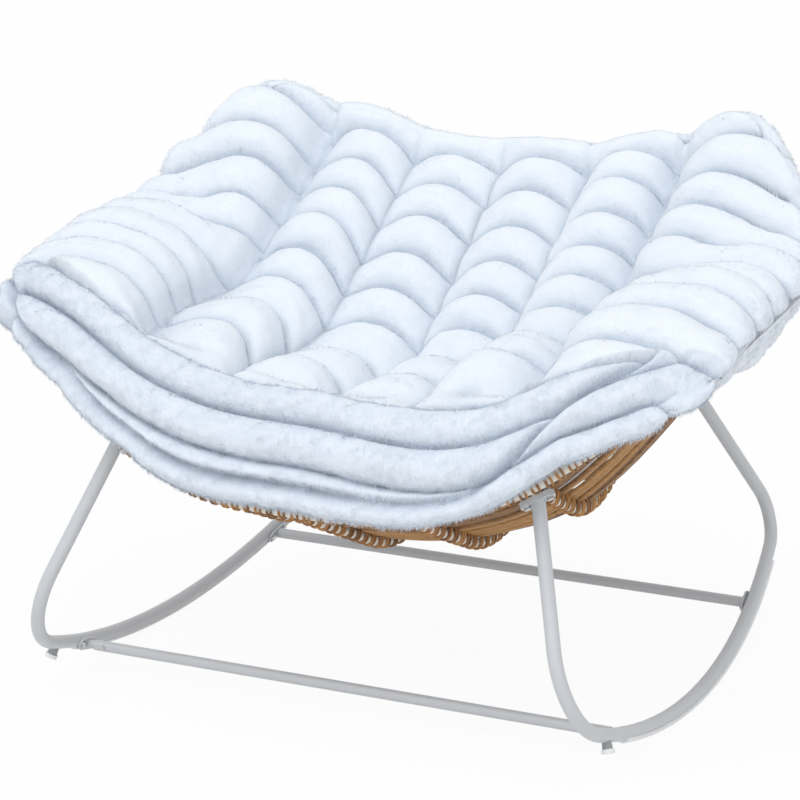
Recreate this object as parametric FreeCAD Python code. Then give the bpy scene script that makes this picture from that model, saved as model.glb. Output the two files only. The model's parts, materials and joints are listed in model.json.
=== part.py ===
import FreeCAD, Part
import functools
import math
import os

Vec = FreeCAD.Vector

# Rocker sides: one bent tube each, in a plane that leans inward as it rises
rocker_tube_d = 20.0
rocker_wall = 1.5
rocker_half_width = 443.0
rocker_lean = 18.6
rocker_toe_in = 1.8
runner_radius = 1021.0
runner_front_angle = 19.0
runner_rear_angle = 25.6
runner_contact_y = -29.7
front_bend_radius = 104.0
rear_bend_radius = 58.0
bend_straight = 3.0
front_leg_lean = 25.2
rear_leg_lean = 35.1

# Glide strip under each runner, held by small screws
strip_thickness = 3.5
strip_half_wrap = 46.0
strip_end_margin = 1.5
strip_screw_d = 3.5
strip_screw_head_d = 7.0
strip_screw_head_h = 1.6
strip_screw_count = 3
strip_screw_inset = 2.5
strip_first_screw_inset = 7.5

# Stop feet at the front end of the runners
foot_angle = 18.2
foot_stem_top_d = 12.0
foot_stem_bottom_d = 15.0
foot_stem_length = 9.0
foot_seat_clearance = 0.1
foot_pad_d = 19.0
foot_pad_thickness = 6.0
foot_pad_rounding = 1.5

# Crossbars between the runners
bar_d = 16.0
bar_wall = 1.2
front_bar_offset = -246.0
rear_bar_offset = 314.0
bar_plate_length = 46.0
bar_plate_width = 20.0
bar_plate_thickness = 3.0
bar_bolt_spacing = 30.0
bar_bolt_d = 5.0
bar_bolt_head_d = 10.0
bar_bolt_head_h = 3.5
bar_bolt_length = 12.0
stub_showing = 14.0
stub_insert = 40.0
stub_clearance = 0.2
set_screw_d = 4.0
set_screw_head_d = 7.5
set_screw_head_h = 2.2
set_screw_inset = 16.0

# Seat basket: rim hoop, five ribs and the rattan laid across them
rim_tube_d = 14.0
rib_tube_d = 14.0
basket_wall = 1.2
rim_front_y = -435.7
rim_back_y = 337.3
rim_half_width = 505.0
rim_widest_y = -75.7
# Corners of the rim's plan: shares of its half width, and of its depth from the widest place
rim_front_plan = ((0.0, -1.0), (0.31, -0.945), (0.62, -0.805), (0.81, -0.65), (0.95, -0.36), (1.0, 0.0))
rim_back_plan = ((0.96, 0.40), (0.77, 0.77), (0.40, 0.95), (0.0, 1.0))
rib_front_spacing = 162.5
rib_back_spacing = 132.5
rib_corner_y = -16.7
rib_corner_z = 158.0
rib_side_rise = 113.5
rib_bend_radius = 260.0
basket_side_lift = 27.0
basket_side_lift_width = 80.0
basket_side_bend_radius = 510.0
basket_front_slope = 0.44
basket_front_slope_at_side = 0.30
basket_back_slope = 1.11
basket_back_slope_at_side = 0.94
rattan_thickness = 7.0
rattan_clearance = 0.2
rattan_end_margin = 0.045
rattan_stations = 18
rattan_rows_per_bay = 7
wing_edge_inset = 14.0

# Flanges that join the legs to the outer ribs
flange_length = 52.0
flange_width = 24.0
flange_thickness = 4.0
flange_bolt_spacing = 34.0
flange_bolt_d = 6.0
flange_bolt_head_d = 10.0
flange_bolt_head_h = 4.0
flange_bolt_end = 1.5
flange_nut_d = 11.0
flange_nut_h = 5.0
flange_nut_sides = 6
bolt_hole_clearance = 0.2
bracket_clearance = 0.25

# Cushion: a quilted pad of columns and ribs with a rolled front border
cushion_half_width = 556.0
cushion_front_y = -457.7
cushion_front_sweep = 153.0
cushion_back_y = 344.3
cushion_top_corner_y = -74.7
cushion_top_corner_z = 440.0
cushion_top_bend_radius = 120.0
cushion_side_rise = 213.0
cushion_side_rise_width = 480.0
cushion_front_slope = 0.2
cushion_back_slope = 0.841
cushion_back_slope_fade = 0.445
cushion_wing_start = 250.0
cushion_wing_corner_shift = 140.0
cushion_wing_corner_width = 250.0
cushion_lobe_slope = 0.167
cushion_lobe_width = 195.0
cushion_edge_width = 88.0
cushion_edge_reach = 6.0
cushion_back_reach = 4.0
cushion_front_power = 3
cushion_back_power = 5
cushion_full_depth = 560.0
cushion_middle_share = 0.55
cushion_front_border = 92.0
cushion_front_tuck = 14.0
cushion_back_border = 52.0
cushion_back_tuck = 4.0
cushion_seat_clearance = 1.0
cushion_overhang_start = 10.0
cushion_droop = 0.2
cushion_wing_clearance = 21.0
seat_line_points = 20
cushion_least_thickness = 60.0
inner_seam_x = 140.0
outer_seam_x = 285.0
column_quarters = (0.25, 0.5, 0.75, 1.0)
wing_shares = (0.166, 0.35, 0.535, 0.69, 0.808, 0.9, 0.963, 1.0)
column_depth = 20.0
outer_column_depth = 42.0
channel_depth = 15.0
channel_depth_at_seam = 8.0
channel_count = 12
front_roll_count = 3
back_roll_count = 2
roll_depth = 9.0
front_roll_bulge = 34.0
back_roll_bulge = 26.0

# Bends take this share of the shorter straight run beside them
rim_bend_share = 0.46
rib_bend_share = 0.95

# Steps for points along a line, and reach of drills and trimming blocks
path_steps = 400
rim_steps = 1200
search_steps = 2000
drill_margin = 1.0
flange_drill_depth = 40.0
bar_trim_reach = 60.0
trim_block = 400.0
screw_overlap = 0.1

# Values worked out from the sizes above
rocker_r = rocker_tube_d / 2.0
strip_r = rocker_r + strip_thickness
rib_r = rib_tube_d / 2.0
rim_r = rim_tube_d / 2.0
column_edges = (0.0, inner_seam_x, outer_seam_x)
wing_width = cushion_half_width - outer_seam_x
wing_stations = [outer_seam_x + wing_width * share for share in wing_shares]
bar_r = bar_d / 2.0
bar_bore_r = bar_r - bar_wall
stub_r = bar_bore_r - stub_clearance


def sin_deg(angle):
    return math.sin(math.radians(angle))


def cos_deg(angle):
    return math.cos(math.radians(angle))


def tan_deg(angle):
    return math.tan(math.radians(angle))


# General helpers: bent paths, tubes, plates and drilled holes

def bent_edges(points, radii, closed=False):
    """Straight runs joined by tangent arcs; radii holds one value per bend."""
    count = len(points)
    bends = range(count) if closed else range(1, count - 1)
    arcs = {}
    for place, i in enumerate(bends):
        corner = points[i]
        before = (points[i - 1] - corner).normalize()
        after = (points[(i + 1) % count] - corner).normalize()
        half = before.getAngle(after) / 2.0
        setback = radii[place] / math.tan(half)
        middle = (before + after).normalize()
        centre = corner + middle * (radii[place] / math.sin(half))
        arcs[i] = (corner + before * setback, centre - middle * radii[place], corner + after * setback)
    edges = []
    last = None if closed else points[0]
    if closed:
        last = arcs[count - 1][2]
    for i in range(count):
        if i in arcs:
            start, middle, end = arcs[i]
            if (start - last).Length > 1e-6:
                edges.append(Part.LineSegment(last, start).toShape())
            edges.append(Part.Arc(start, middle, end).toShape())
            last = end
        elif i:
            edges.append(Part.LineSegment(last, points[i]).toShape())
    return edges


def widest_radii(points, share, closed=False):
    """The largest bend at each point that leaves room for its neighbours."""
    count = len(points)
    bends = range(count) if closed else range(1, count - 1)
    radii = []
    for i in bends:
        before = points[i - 1] - points[i]
        after = points[(i + 1) % count] - points[i]
        half = before.getAngle(after) / 2.0
        radii.append(share * min(before.Length, after.Length) * math.tan(half))
    return radii


def sweep(edges, radius):
    path = Part.Wire(edges)
    start = edges[0].valueAt(edges[0].FirstParameter)
    heading = edges[0].tangentAt(edges[0].FirstParameter)
    ring = Part.Wire([Part.Circle(start, heading, radius).toShape()])
    return path.makePipeShell([ring], True, False)


def tube(edges, outer_d, wall):
    outside = sweep(edges, outer_d / 2.0)
    inside = sweep(edges, outer_d / 2.0 - wall)
    return outside.cut(inside)


def rod(start, end, radius):
    span = end - start
    return Part.makeCylinder(radius, span.Length, start, span)


def oblong(length, width, thickness):
    """A plate with round ends, flat on the XY plane, long side along X."""
    r = width / 2.0
    run = length / 2.0 - r
    corners = [Vec(-run, -r, 0), Vec(run, -r, 0), Vec(run, r, 0), Vec(-run, r, 0)]
    outline = Part.Wire([
        Part.LineSegment(corners[0], corners[1]).toShape(),
        Part.Arc(corners[1], Vec(run + r, 0, 0), corners[2]).toShape(),
        Part.LineSegment(corners[2], corners[3]).toShape(),
        Part.Arc(corners[3], Vec(-run - r, 0, 0), corners[0]).toShape(),
    ])
    return Part.Face(outline).extrude(Vec(0, 0, thickness))


def frame_at(origin, x_axis, y_axis):
    z_axis = x_axis.cross(y_axis)
    turn = FreeCAD.Rotation(x_axis, y_axis, z_axis, "ZXY")
    return FreeCAD.Placement(origin, turn)


def placed(shape, place):
    moved = shape.copy()
    moved.Placement = place.multiply(shape.Placement)
    return moved


def mirrored(shape):
    return shape.mirror(Vec(0, 0, 0), Vec(1, 0, 0))


def space_above(place, size=trim_block):
    """A large block over the XY plane of a frame, for trimming ends flush."""
    block = Part.makeBox(size, size, size, Vec(-size / 2.0, -size / 2.0, 0))
    return placed(block, place)


# The right rocker's own frame: X outward, Y along the runner, Z up in its plane

outward = Vec(cos_deg(rocker_toe_in), sin_deg(rocker_toe_in), 0)
along = Vec(-sin_deg(rocker_toe_in), cos_deg(rocker_toe_in), 0)
rocker_up = Vec(0, 0, 1) * cos_deg(rocker_lean) - outward * sin_deg(rocker_lean)
rocker_out = along.cross(rocker_up)
rocker_place = frame_at(Vec(rocker_half_width, runner_contact_y, strip_r), rocker_out, along)


def in_rocker(y, z, x=0.0):
    return rocker_place.multVec(Vec(x, y, z))


def runner_height(y):
    return runner_radius - math.sqrt(runner_radius ** 2 - y ** 2)


def runner_point(angle):
    """A point of the runner's middle line, by its angle from the lowest point."""
    return Vec(0, runner_radius * sin_deg(angle), runner_radius * (1.0 - cos_deg(angle)))


front_heading = Vec(0, -cos_deg(runner_front_angle), sin_deg(runner_front_angle))
rear_heading = Vec(0, cos_deg(runner_rear_angle), sin_deg(runner_rear_angle))
front_leg_heading = Vec(0, sin_deg(front_leg_lean), cos_deg(front_leg_lean))
rear_leg_heading = Vec(0, -sin_deg(rear_leg_lean), cos_deg(rear_leg_lean))


def bend_corner(run_end, heading, leg_heading, radius):
    turn = heading.getAngle(leg_heading)
    return run_end + heading * (radius * math.tan(turn / 2.0) + bend_straight)


front_corner = bend_corner(runner_point(-runner_front_angle), front_heading, front_leg_heading,
                           front_bend_radius)
rear_corner = bend_corner(runner_point(runner_rear_angle), rear_heading, rear_leg_heading,
                          rear_bend_radius)
runner_tangent = runner_radius * tan_deg((runner_front_angle + runner_rear_angle) / 2.0)
runner_corner = runner_point(-runner_front_angle) - front_heading * runner_tangent


def leg_end(corner, heading, place):
    """A point of the leg's line a little past its flange, where the leg is trimmed later."""
    reach = (place.Base - rocker_place.multVec(corner)).Length
    return corner + heading * (reach + rocker_tube_d)


def rocker_edges():
    points = [
        leg_end(front_corner, front_leg_heading, leg_joints["front"]),
        front_corner,
        runner_corner,
        rear_corner,
        leg_end(rear_corner, rear_leg_heading, leg_joints["rear"]),
    ]
    return bent_edges(points, [front_bend_radius, runner_radius, rear_bend_radius])


# Basket surface: each front-to-back line falls, turns on one large bend and rises

def bent_line(u, front_slope, back_slope, radius):
    """Height over its corner of a line that falls, turns on an arc and rises."""
    front = math.atan(front_slope)
    back = math.atan(back_slope)
    run = radius * math.tan((front + back) / 2.0)
    if u <= -run * math.cos(front):
        return -u * front_slope
    if u >= run * math.cos(back):
        return u * back_slope
    centre_u = -run * math.cos(front) + radius * math.sin(front)
    centre_z = run * math.sin(front) + radius * math.cos(front)
    return centre_z - math.sqrt(radius ** 2 - (u - centre_u) ** 2)


def ease(t):
    t = min(max(t, 0.0), 1.0)
    return t * t * (3.0 - 2.0 * t)


outer_rib_x = 2.0 * rib_front_spacing


def rib_corner(x):
    rise = rib_side_rise * (x / outer_rib_x) ** 2
    lift = basket_side_lift * ease((abs(x) - outer_rib_x) / basket_side_lift_width)
    return Vec(x, rib_corner_y, rib_corner_z + rise + lift)


def basket_bend(x):
    """The ribs' bend radius, which grows from the outer ribs to the rim."""
    share = max(0.0, (abs(x) - outer_rib_x) / (rim_half_width - outer_rib_x))
    return rib_bend_radius + (basket_side_bend_radius - rib_bend_radius) * share


def basket_height(x, y):
    """Height of the ribs' middle line over a point of the floor."""
    share = abs(x) / rim_half_width
    front = basket_front_slope + (basket_front_slope_at_side - basket_front_slope) * share
    back = basket_back_slope + (basket_back_slope_at_side - basket_back_slope) * share
    corner = rib_corner(x)
    return corner.z + bent_line(y - corner.y, front, back, basket_bend(x))


# Rim hoop: a closed bent tube that lies on the basket surface

def rim_polygon():
    """Corners of the hoop, on the basket surface, from the front middle once round."""
    front_depth = rim_widest_y - rim_front_y
    back_depth = rim_back_y - rim_widest_y
    half = []
    for across, deep in rim_front_plan + rim_back_plan:
        x = across * rim_half_width
        y = rim_widest_y + deep * (front_depth if deep < 0 else back_depth)
        half.append(Vec(x, y, basket_height(x, y)))
    other = [Vec(-p.x, p.y, p.z) for p in reversed(half[1:-1])]
    return half + other


rim_points = rim_polygon()
rim_edges = bent_edges(rim_points, widest_radii(rim_points, rim_bend_share, closed=True), closed=True)
rim_line = Part.Wire(rim_edges).discretize(Number=rim_steps)


def rim_at(x, front):
    """The point of the rim's middle line above a given x, at the front or the back."""
    for a, b in zip(rim_line, rim_line[1:]):
        if (a.y < rim_widest_y) == front and (a.x - x) * (b.x - x) <= 0 and a.x != b.x:
            return a + (b - a) * ((x - a.x) / (b.x - a.x))


# Ribs: five tubes that run from the front of the rim to its back, fanning slightly

def basket_edges(front_x, back_x):
    """A bent line over the basket from the front of the rim to its back."""
    start = rim_at(front_x, True)
    end = rim_at(back_x, False)
    share = (rib_corner_y - start.y) / (end.y - start.y)
    corner = rib_corner(start.x + (end.x - start.x) * share)
    points = [start, corner, end]
    room = widest_radii(points, rib_bend_share)[0]
    return bent_edges(points, [min(basket_bend(corner.x), room)])


def rib_edges(order):
    return basket_edges(order * rib_front_spacing, order * rib_back_spacing)


def path_stations(edges, count, low=0.0, high=1.0):
    """Points along a path with their normals, which point up in the path's plane."""
    line = Part.Wire(edges).discretize(Number=path_steps + 1)
    upright = Vec(0, 0, 1)
    found = []
    for i in range(count):
        place = low + (high - low) * i / (count - 1.0)
        at = min(max(int(round(place * path_steps)), 1), path_steps - 1)
        heading = (line[at + 1] - line[at - 1]).normalize()
        normal = (upright - heading * heading.z).normalize()
        found.append((line[at], normal))
    return found


def side_slope(x):
    """How steeply the basket rises sideways."""
    step = 1.0
    return (rib_corner(x + step).z - rib_corner(x - step).z) / (2.0 * step)


def lifted(station, height):
    """A point at a true height over the basket, still in the plane of its line."""
    point, normal = station
    return point + normal * (height * math.sqrt(1.0 + (side_slope(point.x) * normal.z) ** 2))


# Rattan: one panel per bay, laid over the ribs and reaching the rim at the wings

rattan_low = rib_r + rattan_clearance
rattan_high = rattan_low + rattan_thickness


def rattan_outline(front_x, back_x):
    edges = basket_edges(front_x, back_x)
    stations = path_stations(edges, rattan_stations, rattan_end_margin, 1.0 - rattan_end_margin)
    lower = [lifted(station, rattan_low) for station in stations]
    upper = [lifted(station, rattan_high) for station in stations]
    return Part.makePolygon(lower + list(reversed(upper)) + [lower[0]])


def rattan_panel(inner, outer):
    """A panel between two lines over the basket, each given by its x in front and behind."""
    outlines = []
    for i in range(rattan_rows_per_bay):
        share = i / (rattan_rows_per_bay - 1.0)
        front_x = inner[0] + (outer[0] - inner[0]) * share
        back_x = inner[1] + (outer[1] - inner[1]) * share
        outlines.append(rattan_outline(front_x, back_x))
    return Part.makeLoft(outlines, True, True)


def rib_ends(order):
    return order * rib_front_spacing, order * rib_back_spacing


# Leg flanges: an oblong plate on each leg, bolted to a bracket under the outer rib

def closest_on_rib(edges, start, heading):
    path = Part.Wire(edges)
    best = None
    for point in path.discretize(Number=search_steps):
        apart = (point - start).cross(heading).Length
        if best is None or apart < best[0]:
            best = (apart, point)
    return best[1]


def rim_heading(point):
    """Direction of the rim where it passes nearest to a point."""
    near = min(range(1, len(rim_line) - 1), key=lambda i: (rim_line[i] - point).Length)
    return (rim_line[near + 1] - rim_line[near - 1]).normalize()


def leg_joint(corner, leg_heading, beside_rim):
    """The frame of a leg's flange: its XY plane is the underside of the flange."""
    start = rocker_place.multVec(corner)
    heading = rocker_place.Rotation.multVec(leg_heading)
    edges = rib_edges(2)
    on_rib = closest_on_rib(edges, start, heading)
    near = path_stations(edges, path_steps + 1)
    normal = min(near, key=lambda station: (station[0] - on_rib).Length)[1]
    normal = (normal - Vec(side_slope(on_rib.x) * normal.z, 0, 0)).normalize()
    below = on_rib - normal * (rib_r + bracket_clearance + 2.0 * flange_thickness)
    reach = (below - start).dot(normal) / heading.dot(normal)
    centre = start + heading * reach
    across = rim_heading(on_rib) if beside_rim else Vec(1, 0, 0)
    across = (across - normal * normal.dot(across)).normalize()
    return frame_at(centre, across, normal.cross(across))


leg_joints = {
    "front": leg_joint(front_corner, front_leg_heading, True),
    "rear": leg_joint(rear_corner, rear_leg_heading, False),
}


def flange_holes(place):
    r = flange_bolt_d / 2.0 + bolt_hole_clearance
    drill = []
    for s in (-1, 1):
        x = s * flange_bolt_spacing / 2.0
        drill.append(rod(Vec(x, 0, -drill_margin), Vec(x, 0, flange_drill_depth), r))
    return placed(Part.makeCompound(drill), place)


def leg_flange(place, level):
    plate = oblong(flange_length, flange_width, flange_thickness)
    plate.translate(Vec(0, 0, level * flange_thickness))
    return placed(plate, place).cut(flange_holes(place))


def flange_bolts(place):
    bolts = []
    for s in (-1, 1):
        x = s * flange_bolt_spacing / 2.0
        head = rod(Vec(x, 0, -flange_bolt_head_h), Vec(x, 0, 0), flange_bolt_head_d / 2.0)
        tip = 2.0 * flange_thickness + flange_nut_h + flange_bolt_end
        shank = rod(Vec(x, 0, 0), Vec(x, 0, tip), flange_bolt_d / 2.0)
        bolts.append(placed(head.fuse(shank), place))
    return bolts


def flange_nuts(place):
    nuts = []
    nut_r = flange_nut_d / 2.0
    top = 2.0 * flange_thickness
    for s in (-1, 1):
        x = s * flange_bolt_spacing / 2.0
        corners = []
        for i in range(flange_nut_sides + 1):
            turn = 360.0 * i / flange_nut_sides
            corners.append(Vec(x + nut_r * cos_deg(turn), nut_r * sin_deg(turn), top))
        body = Part.Face(Part.makePolygon(corners)).extrude(Vec(0, 0, flange_nut_h))
        bore_end = top + flange_nut_h + drill_margin
        bore = rod(Vec(x, 0, top - drill_margin), Vec(x, 0, bore_end), flange_bolt_d / 2.0)
        nuts.append(placed(body.cut(bore), place))
    return nuts


# Crossbar plates lie against the inner side of the runners

def bar_joint(offset):
    """The frame of a plate: XY is its free face, Z points at the runner."""
    height = runner_height(offset)
    slope = math.asin(offset / runner_radius)
    heading = Vec(0, math.cos(slope), math.sin(slope))
    centre = in_rocker(offset, height, -rocker_r - bar_plate_thickness)
    along_runner = rocker_place.Rotation.multVec(heading)
    return frame_at(centre, along_runner, rocker_out.cross(along_runner))


def bar_plate(place):
    plate = oblong(bar_plate_length, bar_plate_width, bar_plate_thickness)
    return placed(plate, place).cut(bar_bolt_holes(place))


def bar_bolt_holes(place):
    r = bar_bolt_d / 2.0 + bolt_hole_clearance
    drill = []
    for s in (-1, 1):
        x = s * bar_bolt_spacing / 2.0
        drill.append(rod(Vec(x, 0, -drill_margin), Vec(x, 0, bar_bolt_length), r))
    return placed(Part.makeCompound(drill), place)


def bar_bolts(place):
    bolts = []
    for s in (-1, 1):
        x = s * bar_bolt_spacing / 2.0
        head = rod(Vec(x, 0, -bar_bolt_head_h), Vec(x, 0, 0), bar_bolt_head_d / 2.0)
        shank = rod(Vec(x, 0, 0), Vec(x, 0, bar_bolt_length), bar_bolt_d / 2.0)
        bolts.append(placed(head.fuse(shank), place))
    return bolts


bar_joints = {"front": bar_joint(front_bar_offset), "rear": bar_joint(rear_bar_offset)}


def bar_tube(place):
    """A tube along X from the middle plane to a plate on the right."""
    centre = place.Base
    start = Vec(0, centre.y, centre.z)
    end = Vec(centre.x + bar_trim_reach, centre.y, centre.z)
    whole = rod(start, end, bar_r).cut(rod(start, end, bar_bore_r))
    return whole.cut(space_above(place))


def whole_bar(half):
    return half.fuse(mirrored(half)).removeSplitter()


def front_bar_end(place):
    return place.Base.x - stub_showing


def front_bar():
    place = bar_joints["front"]
    end = front_bar_end(place)
    y = place.Base.y
    z = place.Base.z
    outside = rod(Vec(-end, y, z), Vec(end, y, z), bar_r)
    bore = rod(Vec(-end - drill_margin, y, z), Vec(end + drill_margin, y, z), bar_bore_r)
    drill = []
    for s in (-1, 1):
        x = s * (end - set_screw_inset)
        drill.append(rod(Vec(x, y, z), Vec(x, y - 2 * bar_r, z), set_screw_d / 2.0 + bolt_hole_clearance))
    return outside.cut(bore).cut(Part.makeCompound(drill))


def front_stub():
    """A plate with a spigot that the front bar slides over."""
    place = bar_joints["front"]
    centre = place.Base
    start = Vec(front_bar_end(place) - stub_insert, centre.y, centre.z)
    spigot = rod(start, Vec(centre.x + bar_trim_reach, centre.y, centre.z), stub_r).cut(space_above(place))
    x = front_bar_end(place) - set_screw_inset
    hole = rod(Vec(x, centre.y, centre.z), Vec(x, centre.y - 2 * bar_r, centre.z),
               set_screw_d / 2.0 + bolt_hole_clearance)
    return spigot.cut(hole).fuse(bar_plate(place)).removeSplitter()


def front_set_screw():
    place = bar_joints["front"]
    x = front_bar_end(place) - set_screw_inset
    y = place.Base.y
    z = place.Base.z
    seat = y - bar_r
    shank = rod(Vec(x, y, z), Vec(x, seat, z), set_screw_d / 2.0)
    head = rod(Vec(x, seat, z), Vec(x, seat - set_screw_head_h, z), set_screw_head_d / 2.0)
    return shank.fuse(head)


# Glide strip: a channel of plastic that hugs the underside of the runner

runner_centre = Vec(0, 0, runner_radius)


def strip_profile():
    """The strip's section at the runner's lowest point, in the rocker's XZ plane."""
    rays = []
    for angle in (-strip_half_wrap, 0.0, strip_half_wrap):
        rays.append(Vec(sin_deg(angle), 0, -cos_deg(angle)))
    inner = Part.Arc(rays[0] * rocker_r, rays[1] * rocker_r, rays[2] * rocker_r).toShape()
    outer = Part.Arc(rays[0] * strip_r, rays[1] * strip_r, rays[2] * strip_r).toShape()
    sides = [Part.LineSegment(ray * rocker_r, ray * strip_r).toShape() for ray in (rays[0], rays[2])]
    return Part.Face(Part.Wire(Part.__sortEdges__([inner, outer] + sides)))


def strip_screw_angles():
    first = -runner_front_angle + strip_end_margin + strip_first_screw_inset
    last = runner_rear_angle - strip_end_margin - strip_screw_inset
    step = (last - first) / (strip_screw_count - 1)
    return [first + step * i for i in range(strip_screw_count)]


def strip_screw(angle, clearance=0.0):
    inward = runner_centre - runner_point(angle)
    inward.normalize()
    skin = runner_point(angle) - inward * strip_r
    shoulder = skin + inward * strip_screw_head_h
    tip = runner_point(angle) - inward * (rocker_r - 2.0 * rocker_wall)
    head = rod(skin - inward * clearance, shoulder, strip_screw_head_d / 2.0 + clearance)
    shank = rod(shoulder - inward * screw_overlap, tip, strip_screw_d / 2.0 + clearance)
    return head.fuse(shank)


def glide_strip():
    first = -runner_front_angle + strip_end_margin + strip_screw_inset
    last = runner_rear_angle - strip_end_margin
    profile = strip_profile()
    profile.rotate(runner_centre, Vec(1, 0, 0), first)
    strip = profile.revolve(runner_centre, Vec(1, 0, 0), last - first)
    for angle in strip_screw_angles():
        strip = strip.cut(strip_screw(angle, bolt_hole_clearance))
    return strip


# Stop foot: a tapered stem and a flat pad under the front end of the runner

def foot_parts():
    inward = runner_centre - runner_point(-foot_angle)
    inward.normalize()
    middle = runner_point(-foot_angle)
    stem_top = middle
    stem_end = middle - inward * (rocker_r + foot_stem_length)
    length = rocker_r + foot_stem_length
    stem = Part.makeCone(foot_stem_top_d / 2.0, foot_stem_bottom_d / 2.0, length, stem_top, inward * -1.0)
    trim_r = rocker_r + foot_seat_clearance
    trim = Part.makeCylinder(trim_r, 2 * foot_pad_d, middle - front_heading * foot_pad_d, front_heading)
    stem = stem.cut(trim)
    pad = rod(stem_end, stem_end - inward * foot_pad_thickness, foot_pad_d / 2.0)
    rounded = [edge for edge in pad.Edges if edge.Curve.TypeId == "Part::GeomCircle"]
    lowest = max(rounded, key=lambda edge: (edge.CenterOfMass - middle).Length)
    return stem, pad.makeFillet(foot_pad_rounding, [lowest])


# Cushion: closed outlines across the pad, one per station from left to right

def held_by_rim(x):
    return min(abs(x), rim_half_width - cushion_overhang_start)


@functools.lru_cache(maxsize=None)
def seat_line(x):
    """Points of the pad's bottom over the rattan, from the front of the rim to its back."""
    wing = ease(x / rib_front_spacing - 1.0)
    height = rattan_high + cushion_seat_clearance + cushion_wing_clearance * wing
    stations = path_stations(basket_edges(x, x), seat_line_points)
    return [lifted(station, height) for station in stations]


def underside(x, y):
    """Height of the pad's bottom, which droops where it overhangs the front of the rim."""
    held_x = held_by_rim(x)
    line = seat_line(held_x)
    held_y = min(max(y, line[0].y), line[-1].y)
    past = max(0.0, held_y - y)
    for a, b in zip(line, line[1:]):
        if held_y <= b.y:
            height = a.z + (b.z - a.z) * (held_y - a.y) / (b.y - a.y)
            return height - cushion_droop * max(0.0, past - cushion_overhang_start)


def crown(x, y):
    """Height of the pad's top. The wings stay level further back, then rise to the back's lobes."""
    share = abs(x) / cushion_half_width
    corner_z = cushion_top_corner_z + cushion_side_rise * ease(abs(x) / cushion_side_rise_width)
    shift = cushion_wing_corner_shift * ease((abs(x) - cushion_wing_start) / cushion_wing_corner_width)
    front = cushion_front_slope * (1.0 - share ** 2)
    back = cushion_back_slope - cushion_back_slope_fade * min(abs(x), outer_seam_x) / cushion_half_width
    back += cushion_lobe_slope * ease((abs(x) - outer_seam_x) / cushion_lobe_width)
    return corner_z + bent_line(y - cushion_top_corner_y - shift, front, back, cushion_top_bend_radius)


def seam_share(x):
    """One on a seam between two columns and zero along a column's middle."""
    x = abs(x)
    for low, high in zip(column_edges, column_edges[1:]):
        if low <= x <= high:
            return math.cos(math.pi * (x - low) / (high - low)) ** 2
    if x < wing_stations[1]:
        last = column_edges[-1]
        return 1.0 - ease((x - last) / (wing_stations[1] - last))
    return 0.0


def cushion_front(x):
    return cushion_front_y + cushion_front_sweep * (abs(x) / cushion_half_width) ** cushion_front_power


def cushion_back(x):
    share = abs(x) / (cushion_half_width + cushion_back_reach)
    return cushion_back_y * math.sqrt(1.0 - share ** cushion_back_power)


def edge_fullness(x):
    """Full thickness inside the wings, drawn in towards the sides."""
    edge_start = cushion_half_width - cushion_edge_width
    over = (abs(x) - edge_start) / (cushion_edge_width + cushion_edge_reach)
    return math.sqrt(1.0 - max(over, 0.0) ** 2)


def pad_heights(x, y):
    low = underside(x, y)
    inner = abs(x) < (column_edges[1] + column_edges[2]) / 2.0
    seam = (column_depth if inner else outer_column_depth) * seam_share(x)
    high = max(crown(x, y) - seam, low + cushion_least_thickness)
    middle = low + cushion_middle_share * (high - low)
    fullness = edge_fullness(x)
    return middle - (middle - low) * fullness, middle + (high - middle) * fullness


def rolls(start, end, count, bulge, depth):
    """Rolled border: points on a bulged line, with a crest between each two."""
    span = end - start
    out = Vec(0, -span.z, span.y).normalize()
    knots = []
    for i in range(2 * count + 1):
        t = i / (2.0 * count)
        swell = bulge * 4.0 * t * (1.0 - t)
        lift = depth if i % 2 else 0.0
        knots.append(start + span * t + out * (swell + lift))
    return knots


def cushion_outline(x):
    front = cushion_front(x)
    back = cushion_back(x)
    depth = back - front
    narrow = min(1.0, depth / cushion_full_depth)
    first = front + cushion_front_border * narrow
    last = back - cushion_back_border * narrow
    seam = seam_share(x)
    groove = channel_depth + (channel_depth_at_seam - channel_depth) * seam
    groove = groove * edge_fullness(x)
    knots = []
    for i in range(2 * channel_count + 1):
        y = first + (last - first) * i / (2.0 * channel_count)
        z = pad_heights(x, y)[1]
        knots.append(Vec(x, y, z if i % 2 else z - groove))
    tuck_back = back - cushion_back_tuck * narrow
    tuck_front = front + cushion_front_tuck * narrow
    bottom_back = Vec(x, tuck_back, pad_heights(x, tuck_back)[0])
    bottom_front = Vec(x, tuck_front, pad_heights(x, tuck_front)[0])
    fullness = edge_fullness(x)
    back_rolls = rolls(knots[-1], bottom_back, back_roll_count, back_roll_bulge * narrow * fullness,
                       roll_depth * fullness)
    front_rolls = rolls(bottom_front, knots[0], front_roll_count, front_roll_bulge * narrow * fullness,
                        roll_depth * fullness)
    edges = []
    for row in (knots, back_rolls):
        for i in range(0, len(row) - 2, 2):
            edges.append(Part.Arc(row[i], row[i + 1], row[i + 2]).toShape())
    under = [bottom_back]
    for place in reversed(seat_line(held_by_rim(x))):
        under.append(Vec(x, place.y, pad_heights(x, place.y)[0]))
    under.append(bottom_front)
    for a, b in zip(under, under[1:]):
        edges.append(Part.LineSegment(a, b).toShape())
    for i in range(0, len(front_rolls) - 2, 2):
        edges.append(Part.Arc(front_rolls[i], front_rolls[i + 1], front_rolls[i + 2]).toShape())
    return Part.Wire(edges)


def cushion_stations():
    right = [0.0]
    for low, high in zip(column_edges, column_edges[1:]):
        for quarter in column_quarters:
            right.append(low + (high - low) * quarter)
    right.extend(wing_stations)
    return [-x for x in reversed(right[1:])] + right


def seat_cushion():
    return Part.makeLoft([cushion_outline(x) for x in cushion_stations()], True, True)


# Build every piece in its place

parts = {}


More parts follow.
